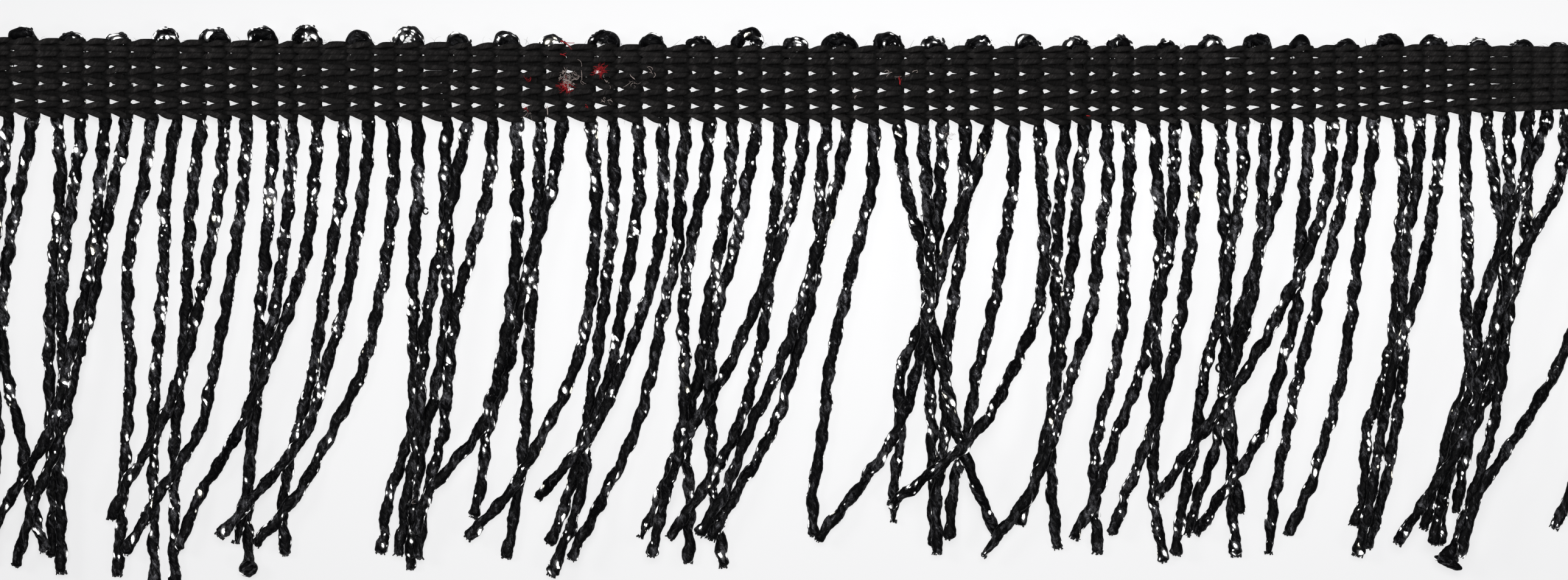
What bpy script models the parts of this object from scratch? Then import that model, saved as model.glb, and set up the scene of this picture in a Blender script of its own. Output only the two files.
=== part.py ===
# Chainette fringe trim lying flat: a black knitted heading tape with metallic cord fringe.
# X runs along the trim, Y points from the cut tips towards the heading, Z is up off the surface.
# The origin is on the underside of the stitched strip, at the middle of the length.

import math

import bmesh
import bpy
import numpy as np

MM = 0.001

# Heading tape
HEADING_BACK = 1.3 * MM
HEADING_VALLEY = 2.2 * MM
HEADING_CREST = 2.6 * MM
HEADING_STEP = 4.5 * MM
HEADING_OVERHANG = 1.6 * MM
WALE_WIDTHS = (1.65, 1.95, 2.25, 2.20, 1.90)
RIB_STEPS = ((0.25, 0.85), (0.50, 1.00), (0.75, 0.85), (1.00, 0.00))

# Strip that the cords are stitched into, under the lowest row of the heading
STRIP_HEIGHT = 1.0 * MM
STRIP_LOW_SETBACK = 0.3 * MM
STRIP_WIDTH = 2.3 * MM

# Cords
CORD_WIDTH = 1.55 * MM
CORD_HEIGHT = 1.15 * MM
CORD_SEGMENTS = 14
TIP_FLARE = 1.12
DEPTH_ZERO = -1.75 * MM
READING_DEPTHS = (8.0, 16.0, 24.0, 32.0, 40.0, 48.0)
TIP_CLEARANCE = 2.5
ROOT_SLOPE_SHARE = 0.4
CURVE_POINTS = 241

# Turned loops over the top edge of the heading
LOOP_WIDTH = 1.5 * MM
LOOP_HEIGHT = 1.0 * MM
LOOP_STAND = 1.05 * MM
LOOP_UNEVEN = 0.35 * MM
LOOP_RHYTHM = 1.9
LOOP_TURNS = (180.0, 135.0, 90.0, 45.0, 0.0)

# Stacking of cords that cross
CELL = 0.1 * MM
LAYER_GAP = 0.13 * MM
SIDE_GAP = 0.10 * MM
CLIMB_SLOPE = 0.42
SAMPLES_ALONG = 25
SAMPLES_ACROSS = 21
GROUND_MARGIN = 4.0 * MM

# Outline of the heading in mm: place along the trim, top edge, lower edge
HEADING_COLUMNS = ("along", "top", "low")
HEADING_TABLE = (
    (-109.5, 9.50, -0.56),
    (-101.4, 9.43, -0.65),
    (-58.0, 8.88, -1.12),
    (0.0, 8.33, -1.45),
    (30.0, 8.33, -1.67),
    (48.0, 8.33, -1.67),
    (68.0, 8.41, -1.35),
    (80.0, 8.49, -0.80),
    (87.5, 8.41, -0.25),
    (101.4, 8.17, 0.46),
    (110.0, 8.10, 0.75),
)

# One row for each cord in mm: X at the root, X at each reading depth, X of the tip, depth of the tip
CORD_COLUMNS = ("root", "at_8", "at_16", "at_24", "at_32", "at_40", "at_48", "tip", "drop")
CORD_TABLE = (
    (-106.3, -107.0, -107.6, -107.8, -107.8, -107.4, -107.5, -107.6, 55.5),
    (-103.2, -104.3, -105.2, -105.6, -105.5, -105.0, -105.4, -105.6, 56.8),
    (-100.2, -101.3, -102.0, -102.3, -102.1, -101.6, -102.4, -102.6, 57.0),
    (-97.0, -98.8, -100.2, -101.1, -100.6, -98.7, -97.4, -95.4, 55.3),
    (-93.9, -93.5, -94.2, -94.8, -95.0, -94.7, -94.5, -94.6, 56.0),
    (-90.8, -91.7, -92.9, -93.3, -93.1, -93.6, -93.4, -93.4, 58.0),
    (-87.8, -88.4, -89.3, -90.6, -92.5, -94.9, -99.7, -102.5, 53.0),
    (-84.9, -86.7, -88.2, -89.6, -91.6, -93.2, -96.4, -99.3, 57.2),
    (-81.8, -82.9, -84.6, -84.9, -84.5, -85.0, -85.5, -86.2, 58.5),
    (-78.5, -79.9, -80.1, -80.5, -81.2, -81.6, -81.5, -81.4, 59.5),
    (-75.3, -76.4, -77.0, -77.3, -77.9, -78.7, -78.8, -78.8, 59.5),
    (-72.3, -72.9, -74.2, -75.7, -77.9, -81.0, -85.7, -86.9, 51.2),
    (-69.4, -69.9, -70.9, -72.2, -73.8, -75.7, -80.8, -85.2, 55.6),
    (-66.0, -66.4, -67.0, -67.7, -68.3, -68.8, -69.3, -69.2, 58.1),
    (-63.5, -63.9, -64.7, -65.8, -67.5, -68.6, -69.5, -70.7, 54.2),
    (-60.3, -60.8, -61.7, -63.9, -67.1, -70.6, -75.5, -78.3, 55.0),
    (-56.8, -57.2, -58.4, -59.7, -60.9, -63.0, -64.7, -64.5, 55.8),
    (-53.6, -54.3, -55.5, -57.0, -59.3, -61.9, -68.3, -72.8, 53.2),
    (-50.5, -50.5, -51.2, -52.6, -54.6, -58.6, -63.0, -68.4, 54.4),
    (-47.4, -47.3, -47.8, -47.9, -47.8, -48.3, -51.0, -52.1, 55.6),
    (-43.6, -43.8, -43.5, -43.6, -44.6, -46.4, -47.7, -48.3, 57.6),
    (-40.9, -42.6, -44.3, -46.0, -46.8, -47.3, -48.7, -49.8, 55.8),
    (-37.7, -38.2, -40.3, -42.4, -43.3, -44.1, -46.2, -47.4, 56.2),
    (-34.5, -34.5, -34.5, -35.4, -36.8, -39.6, -46.0, -47.6, 53.0),
    (-31.5, -31.7, -32.2, -32.7, -33.2, -33.5, -34.5, -35.9, 56.2),
    (-28.7, -30.0, -32.3, -34.2, -35.9, -38.4, -39.4, -40.2, 50.8),
    (-25.0, -24.3, -24.5, -25.2, -27.2, -31.1, -35.8, -41.0, 53.6),
    (-22.1, -22.0, -22.5, -23.4, -24.5, -25.8, -27.9, -30.3, 54.4),
    (-18.9, -18.7, -19.7, -21.0, -22.4, -25.1, -26.3, -30.0, 58.3),
    (-15.7, -15.6, -16.2, -18.2, -21.1, -24.9, -31.7, -31.9, 48.4),
    (-12.7, -13.4, -13.8, -15.6, -17.1, -19.4, -23.3, -27.6, 56.3),
    (-9.6, -10.4, -12.1, -13.0, -12.8, -13.3, -16.0, -18.5, 53.6),
    (-6.6, -7.1, -8.3, -9.9, -10.9, -12.7, -12.2, -12.4, 56.8),
    (-3.5, -4.9, -6.4, -8.7, -9.6, -9.4, -9.1, -7.7, 57.2),
    (-0.5, -0.8, -1.7, -2.3, -3.8, -6.3, -11.0, -14.9, 53.6),
    (2.6, 1.6, -0.7, -3.9, -7.5, -12.3, -15.3, -17.1, 55.9),
    (5.5, 4.7, 4.5, 3.1, 1.0, -1.7, -6.4, -9.5, 53.6),
    (8.3, 6.7, 4.4, 2.0, -0.9, -4.7, -7.9, -11.1, 53.1),
    (11.6, 11.3, 9.4, 7.5, 5.8, 5.0, 3.7, 3.8, 53.3),
    (14.9, 15.7, 17.8, 18.7, 20.6, 22.4, 25.3, 27.5, 53.2),
    (18.0, 18.4, 18.8, 18.6, 17.1, 14.4, 8.9, 4.2, 53.8),
    (20.5, 20.2, 19.5, 18.5, 18.8, 19.1, 19.3, 19.4, 54.7),
    (23.4, 23.3, 22.9, 21.7, 20.8, 20.8, 19.7, 19.8, 55.6),
    (26.5, 24.1, 21.1, 18.7, 15.1, 15.0, 14.2, 14.1, 51.5),
    (29.7, 29.6, 28.3, 27.0, 25.0, 23.6, 21.7, 21.3, 53.7),
    (32.9, 33.4, 33.6, 32.8, 29.4, 24.6, 15.0, 13.5, 49.4),
    (36.3, 35.8, 35.2, 35.2, 35.0, 34.4, 34.7, 35.3, 55.0),
    (38.9, 38.0, 37.4, 36.3, 35.4, 33.9, 31.8, 30.3, 51.8),
    (41.7, 41.8, 40.6, 39.8, 37.3, 34.9, 31.4, 25.6, 55.8),
    (44.6, 44.6, 43.9, 43.9, 42.6, 40.5, 40.1, 40.6, 55.5),
    (47.9, 48.3, 48.7, 48.1, 48.1, 47.9, 47.8, 49.1, 56.7),
    (50.5, 50.3, 49.8, 47.9, 46.1, 43.0, 40.2, 37.4, 53.5),
    (53.3, 53.1, 52.5, 51.4, 49.8, 47.3, 44.1, 42.3, 53.1),
    (56.5, 56.8, 57.1, 56.9, 56.9, 56.2, 53.6, 51.9, 53.2),
    (59.3, 59.1, 57.7, 56.4, 54.3, 53.3, 51.7, 50.5, 55.8),
    (62.3, 61.9, 61.5, 59.1, 57.1, 57.9, 57.9, 58.4, 55.8),
    (65.0, 64.0, 61.5, 60.1, 57.8, 57.4, 58.1, 59.0, 50.4),
    (67.9, 67.4, 66.7, 66.2, 64.1, 61.6, 56.4, 53.1, 53.0),
    (70.9, 70.3, 67.9, 64.1, 59.5, 53.8, 48.3, 48.0, 48.6),
    (73.7, 72.5, 70.7, 68.7, 66.6, 65.0, 63.4, 62.6, 55.6),
    (76.3, 75.5, 74.3, 73.4, 72.2, 70.1, 67.5, 65.1, 53.2),
    (79.4, 80.2, 79.5, 79.1, 77.8, 75.3, 74.9, 73.7, 52.0),
    (82.2, 81.6, 80.2, 79.8, 79.9, 78.9, 77.4, 75.3, 54.9),
    (85.1, 84.3, 83.0, 80.9, 78.5, 77.1, 75.8, 74.1, 55.7),
    (88.0, 88.1, 88.4, 88.2, 88.6, 85.9, 84.3, 82.6, 52.4),
    (90.8, 91.9, 93.1, 92.6, 91.3, 88.0, 85.2, 84.8, 54.4),
    (93.7, 93.6, 93.3, 93.1, 91.9, 88.6, 87.2, 86.7, 50.2),
    (96.3, 96.0, 95.5, 93.5, 92.5, 91.1, 88.7, 85.6, 56.6),
    (98.9, 95.2, 92.4, 89.8, 89.0, 86.8, 84.8, 83.8, 54.4),
    (101.1, 99.9, 95.5, 92.4, 89.8, 87.8, 82.9, 79.0, 54.2),
    (104.1, 104.0, 103.7, 102.8, 99.7, 94.6, 89.3, 87.1, 55.9),
    (107.1, 107.2, 107.0, 106.6, 105.8, 104.2, 101.5, 99.5, 52.3),
)

# Cut tips that have spread: number of the cord from the left, width of the tip in mm
WIDE_TIPS = {13: 2.2, 16: 2.1, 28: 2.3, 52: 2.1, 60: 2.0, 67: 3.4}

FRINGE_LOOK = ((0.012, 0.012, 0.015, 1.0), 0.38, 0.45)
HEADING_LOOK = ((0.014, 0.013, 0.014, 1.0), 0.92, 0.0)


def clear_scene():
    """Remove every object that the file starts with."""
    for scene_object in list(bpy.data.objects):
        bpy.data.objects.remove(scene_object, do_unlink=True)


def heading_edge(along, column):
    """Y of the heading's top or lower edge at a place along the trim, in metres."""
    table = np.array(HEADING_TABLE) * MM
    pick = HEADING_COLUMNS.index(column)
    return float(np.interp(along, table[:, 0], table[:, pick]))


def cord_curve(row):
    """Smooth centre line of one cord in plan, from its root in the strip to its cut tip."""
    reading = dict(zip(CORD_COLUMNS, row))
    root_y = heading_edge(reading["root"] * MM, "low") + STRIP_LOW_SETBACK
    depths = [(DEPTH_ZERO - root_y) / MM]
    places = [reading["root"]]
    for depth in READING_DEPTHS:
        if depth < reading["drop"] - TIP_CLEARANCE:
            depths.append(depth)
            places.append(reading["at_%d" % depth])
    depths.append(reading["drop"])
    places.append(reading["tip"])
    depths = np.array(depths)
    places = np.array(places)
    slopes = np.gradient(places, depths)
    slopes[0] *= ROOT_SLOPE_SHARE
    fine = np.linspace(depths[0], depths[-1], CURVE_POINTS)
    part = np.clip(np.searchsorted(depths, fine, side="right") - 1, 0, len(depths) - 2)
    span = depths[part + 1] - depths[part]
    share = (fine - depths[part]) / span
    rest = 1.0 - share
    across = (places[part] * (1.0 + 2.0 * share) * rest ** 2
              + slopes[part] * span * share * rest ** 2
              + places[part + 1] * (3.0 - 2.0 * share) * share ** 2
              - slopes[part + 1] * span * rest * share ** 2)
    return np.stack([across * MM, DEPTH_ZERO - fine * MM], axis=1)


def even_points(curve, count):
    """Points at even lengths along a plan curve."""
    steps = np.linalg.norm(np.diff(curve, axis=0), axis=1)
    length = np.concatenate([[0.0], np.cumsum(steps)])
    wanted = np.linspace(0.0, length[-1], count)
    return np.stack([np.interp(wanted, length, curve[:, axis]) for axis in (0, 1)], axis=1)


def side_vectors(points):
    """Unit vectors across a plan curve, pointing to the right of a cord that runs down."""
    heading = np.gradient(points, axis=0)
    heading /= np.linalg.norm(heading, axis=1)[:, None]
    return np.stack([-heading[:, 1], heading[:, 0]], axis=1)


def cord_widths(index):
    """Width of a cord at each of its rings, flared at the cut tip."""
    widths = np.full(CORD_SEGMENTS + 1, CORD_WIDTH)
    widths[-1] = WIDE_TIPS.get(index, CORD_WIDTH * TIP_FLARE / MM) * MM
    return widths


def footprint(points, sides, widths, margin):
    """Shares along a segment, and sampled places over each segment of a cord in plan."""
    share = np.linspace(0.0, 1.0, SAMPLES_ALONG)
    across = np.linspace(-1.0, 1.0, SAMPLES_ACROSS)
    first, second = points[:-1], points[1:]
    half_first = sides[:-1] * (widths[:-1] / 2 + margin)[:, None]
    half_second = sides[1:] * (widths[1:] / 2 + margin)[:, None]
    near = first[:, None, :] + half_first[:, None, :] * across[None, :, None]
    far = second[:, None, :] + half_second[:, None, :] * across[None, :, None]
    places = (near[:, None] * (1.0 - share)[None, :, None, None]
              + far[:, None] * share[None, :, None, None])
    return share, places


def lie_of_cords(paths):
    """Height of the underside of every cord at its rings; those that stray most lie on top."""
    everywhere = np.concatenate([path[0] for path in paths])
    corner = everywhere.min(axis=0) - GROUND_MARGIN
    far_corner = everywhere.max(axis=0) + GROUND_MARGIN
    ground = np.zeros(np.ceil((far_corner - corner) / CELL).astype(int))
    stray = [abs(path[0][-1, 0] - path[0][0, 0]) for path in paths]
    heights = [None] * len(paths)
    for number in np.argsort(stray, kind="stable"):
        points, sides, widths = paths[number]
        share, places = footprint(points, sides, widths, SIDE_GAP)
        cells = ((places - corner) / CELL).astype(int)
        needed = ground[cells[..., 0], cells[..., 1]].max(axis=2)
        over = needed.max(axis=1)
        lift = np.zeros(len(points))
        lift[1:-1] = np.maximum(over[:-1], over[1:])
        lift[-1] = over[-1]
        lift[1] = max(lift[1], (needed[0, 1:] / share[1:]).max())
        reach = np.linalg.norm(np.diff(points, axis=0), axis=1) * CLIMB_SLOPE
        for step in range(2, len(lift)):
            lift[step] = max(lift[step], lift[step - 1] - reach[step - 1])
        for step in range(len(lift) - 2, 0, -1):
            lift[step] = max(lift[step], lift[step + 1] - reach[step])
        top = lift[:-1, None] * (1.0 - share) + lift[1:, None] * share + CORD_HEIGHT + LAYER_GAP
        np.maximum.at(ground, (cells[..., 0], cells[..., 1]), top[:, :, None] + 0.0 * places[..., 0])
        heights[number] = lift
    return heights


def ring(mesh, point, side, width, base, height):
    """Four corners of a cord's section: low left, low right, high right, high left."""
    left = point - side * width / 2
    right = point + side * width / 2
    return [mesh.verts.new((left[0], left[1], base)),
            mesh.verts.new((right[0], right[1], base)),
            mesh.verts.new((right[0], right[1], base + height)),
            mesh.verts.new((left[0], left[1], base + height))]


def bridge(mesh, first, second):
    """Join two rings of four corners with a band of faces."""
    for corner in range(4):
        after = (corner + 1) % 4
        mesh.faces.new((first[corner], first[after], second[after], second[corner]))


def strip_sockets(mesh, roots):
    """The stitched strip with an open socket on both long sides for every cord."""
    ends = (roots[0] - HEADING_OVERHANG, roots[-1] + HEADING_OVERHANG)
    stations = [ends[0]]
    for root in roots:
        stations += [root - CORD_WIDTH / 2, root + CORD_WIDTH / 2]
    stations.append(ends[1])
    rows = []
    for along in stations:
        low = heading_edge(along, "low") + STRIP_LOW_SETBACK
        high = low + STRIP_WIDTH
        rows.append([mesh.verts.new((along, low, 0.0)), mesh.verts.new((along, low, STRIP_HEIGHT)),
                     mesh.verts.new((along, high, STRIP_HEIGHT)), mesh.verts.new((along, high, 0.0))])
    for number in range(len(rows) - 1):
        here, there = rows[number], rows[number + 1]
        mesh.faces.new((here[0], here[3], there[3], there[0]))
        mesh.faces.new((here[1], there[1], there[2], here[2]))
        if number % 2 == 0:
            mesh.faces.new((here[0], there[0], there[1], here[1]))
            mesh.faces.new((here[3], here[2], there[2], there[3]))
    mesh.faces.new(rows[0])
    mesh.faces.new(rows[-1][::-1])
    below, above = [], []
    for number in range(len(roots)):
        here, there = rows[2 * number + 1], rows[2 * number + 2]
        below.append([here[0], there[0], there[1], here[1]])
        above.append([here[3], there[3], there[2], here[2]])
    return below, above


def add_cord(mesh, socket, path, lift):
    """One hanging cord, from its socket in the strip to its cut tip."""
    points, sides, widths = path
    last = socket
    for step in range(1, len(points)):
        now = ring(mesh, points[step], sides[step], widths[step], lift[step], CORD_HEIGHT)
        bridge(mesh, now, last)
        last = now
    mesh.faces.new(last)


def add_loop(mesh, start, finish, left, right, stand):
    """The cord's turn over the top edge of the heading, from one socket to the next."""
    middle = (left + right) / 2
    radius = (right - left) / 2
    crown = heading_edge(middle, "top") + stand - LOOP_WIDTH / 2
    last = start
    for turn in LOOP_TURNS:
        angle = math.radians(turn)
        point = np.array([middle + radius * math.cos(angle), crown - radius + radius * math.sin(angle)])
        inward = np.array([-math.cos(angle), -math.sin(angle)])
        now = ring(mesh, point, inward, LOOP_WIDTH, 0.0, LOOP_HEIGHT)
        bridge(mesh, last, now)
        last = now
    bridge(mesh, last, [finish[1], finish[0], finish[3], finish[2]])


def look(name, values):
    """A plain surface with a colour, a roughness and a share of metal."""
    colour, roughness, metal = values
    material = bpy.data.materials.new(name)
    material.use_nodes = True
    shader = material.node_tree.nodes["Principled BSDF"]
    shader.inputs["Base Color"].default_value = colour
    shader.inputs["Roughness"].default_value = roughness
    shader.inputs["Metallic"].default_value = metal
    material.diffuse_color = colour
    return material


def finish_object(name, mesh, material, smooth):
    """Turn the built faces into a named object with one surface."""
    bmesh.ops.recalc_face_normals(mesh, faces=mesh.faces)
    data = bpy.data.meshes.new(name)
    mesh.to_mesh(data)
    mesh.free()
    data.materials.append(material)
    data.polygons.foreach_set("use_smooth", [smooth] * len(data.polygons))
    node = bpy.data.objects.new(name, data)
    bpy.context.scene.collection.objects.link(node)
    return node


def build_fringe():
    """All the cords in one piece: strip, turned loops and the fringe as it lies."""
    mesh = bmesh.new()
    paths = []
    for index, row in enumerate(CORD_TABLE):
        points = even_points(cord_curve(row), CORD_SEGMENTS + 1)
        paths.append((points, side_vectors(points), cord_widths(index)))
    lifts = lie_of_cords(paths)
    roots = [row[0] * MM for row in CORD_TABLE]
    below, above = strip_sockets(mesh, roots)
    for index, path in enumerate(paths):
        add_cord(mesh, below[index], path, lifts[index])
    for index in range(0, len(roots), 2):
        stand = LOOP_STAND + LOOP_UNEVEN * math.sin(LOOP_RHYTHM * index)
        add_loop(mesh, above[index], above[index + 1], roots[index], roots[index + 1], stand)
    return finish_object("fringe", mesh, look("metallic cord", FRINGE_LOOK), False)


def heading_section(along):
    """Closed outline of the heading across its width, ribbed on the face."""
    low = heading_edge(along, "low")
    top = heading_edge(along, "top")
    shares = np.array(WALE_WIDTHS) / sum(WALE_WIDTHS)
    outline = [(top, HEADING_BACK), (top, HEADING_VALLEY)]
    place = top
    for share in shares:
        wale = (top - low) * share
        for part, rise in RIB_STEPS:
            height = HEADING_VALLEY + (HEADING_CREST - HEADING_VALLEY) * rise
            outline.append((place - wale * part, height))
        place -= wale
    outline.append((low, HEADING_BACK))
    return outline


def build_heading():
    """The knitted heading tape, five ribs across, as wide and as bowed as it lies."""
    mesh = bmesh.new()
    start = CORD_TABLE[0][0] * MM - HEADING_OVERHANG
    end = CORD_TABLE[-1][0] * MM + HEADING_OVERHANG
    count = int(round((end - start) / HEADING_STEP)) + 1
    rings = []
    for along in np.linspace(start, end, count):
        rings.append([mesh.verts.new((along, y, z)) for y, z in heading_section(along)])
    for here, there in zip(rings[:-1], rings[1:]):
        for corner in range(len(here)):
            after = (corner + 1) % len(here)
            mesh.faces.new((here[corner], here[after], there[after], there[corner]))
    mesh.faces.new(rings[0])
    mesh.faces.new(rings[-1][::-1])
    return finish_object("heading", mesh, look("knitted tape", HEADING_LOOK), True)


def main():
    """Build the trim: the cord fringe and the knitted heading over it."""
    clear_scene()
    build_fringe()
    build_heading()


main()
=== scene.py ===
# Chainette fringe trim laid flat: the looks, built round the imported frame.
# X runs along the trim, Y points from the cut tips towards the heading, Z is up off the floor.

import math

import bpy
import numpy as np
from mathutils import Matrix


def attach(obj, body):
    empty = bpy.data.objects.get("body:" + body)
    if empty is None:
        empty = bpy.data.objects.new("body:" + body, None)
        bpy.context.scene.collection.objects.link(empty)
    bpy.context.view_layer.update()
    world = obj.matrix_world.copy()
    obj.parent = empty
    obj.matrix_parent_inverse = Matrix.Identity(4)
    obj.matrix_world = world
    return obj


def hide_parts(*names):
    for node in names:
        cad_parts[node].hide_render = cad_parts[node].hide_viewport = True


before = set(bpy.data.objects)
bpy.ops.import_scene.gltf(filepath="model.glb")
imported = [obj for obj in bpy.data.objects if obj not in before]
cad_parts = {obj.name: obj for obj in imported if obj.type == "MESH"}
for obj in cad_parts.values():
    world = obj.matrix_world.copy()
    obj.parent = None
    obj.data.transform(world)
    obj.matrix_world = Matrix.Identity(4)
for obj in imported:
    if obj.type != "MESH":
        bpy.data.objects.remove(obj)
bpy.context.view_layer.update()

bl_info = {
    "name": "Chainette fringe trim",
    "version": (1, 0, 0),
    "blender": (4, 5, 0),
    "location": "3D View > Sidebar > Trim",
    "description": "Knitted heading tape with turned metallic cords that hang and cross as a fringe",
    "category": "Object",
}

MM = 0.001
ROUND = 2 * math.pi

# Heading outline and strip, as in the solids: widths of the wales in mm from the top
HEADING_OVERHANG = 1.6 * MM
STRIP_LOW_SETBACK = 0.3 * MM
WALE_WIDTHS = np.array((1.65, 1.95, 2.25, 2.20, 1.90))

# Solid cords, whose stacking the dressed cords follow
SOLID_WIDTH = 1.55 * MM
SOLID_HEIGHT = 1.15 * MM
SOLID_SEGMENTS = 14
SOLID_FLARE = 1.12
# Y from which depths are counted, depths in mm at which each cord was read, how far over its tip a reading
# still counts, spacing of the roots in mm, share of its slope that a root keeps, and points of a curve
DEPTH_ZERO = -1.75 * MM
READING_DEPTHS = (8.0, 16.0, 24.0, 32.0, 40.0, 48.0)
TIP_CLEARANCE = 2.5
ROOT_SPACING = 3
ROOT_SLOPE_SHARE = 0.4
CURVE_POINTS = 241
# Stacking: cell of the ground, gaps over and beside a cord, steepest climb, samples of a footprint, margin
CELL = 0.1 * MM
LAYER_GAP = 0.13 * MM
SIDE_GAP = 0.10 * MM
CLIMB_SLOPE = 0.42
SAMPLES_ALONG = 25
SAMPLES_ACROSS = 21
GROUND_MARGIN = 4.0 * MM

# Outline of the heading in mm: place along the trim, top edge, lower edge
HEADING_TABLE = (
    (-109.5, 9.50, -0.56),
    (-101.4, 9.43, -0.65),
    (-58.0, 8.88, -1.12),
    (0.0, 8.33, -1.45),
    (30.0, 8.33, -1.67),
    (48.0, 8.33, -1.67),
    (68.0, 8.41, -1.35),
    (80.0, 8.49, -0.80),
    (87.5, 8.41, -0.25),
    (101.4, 8.17, 0.46),
    (110.0, 8.10, 0.75),
)

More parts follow.
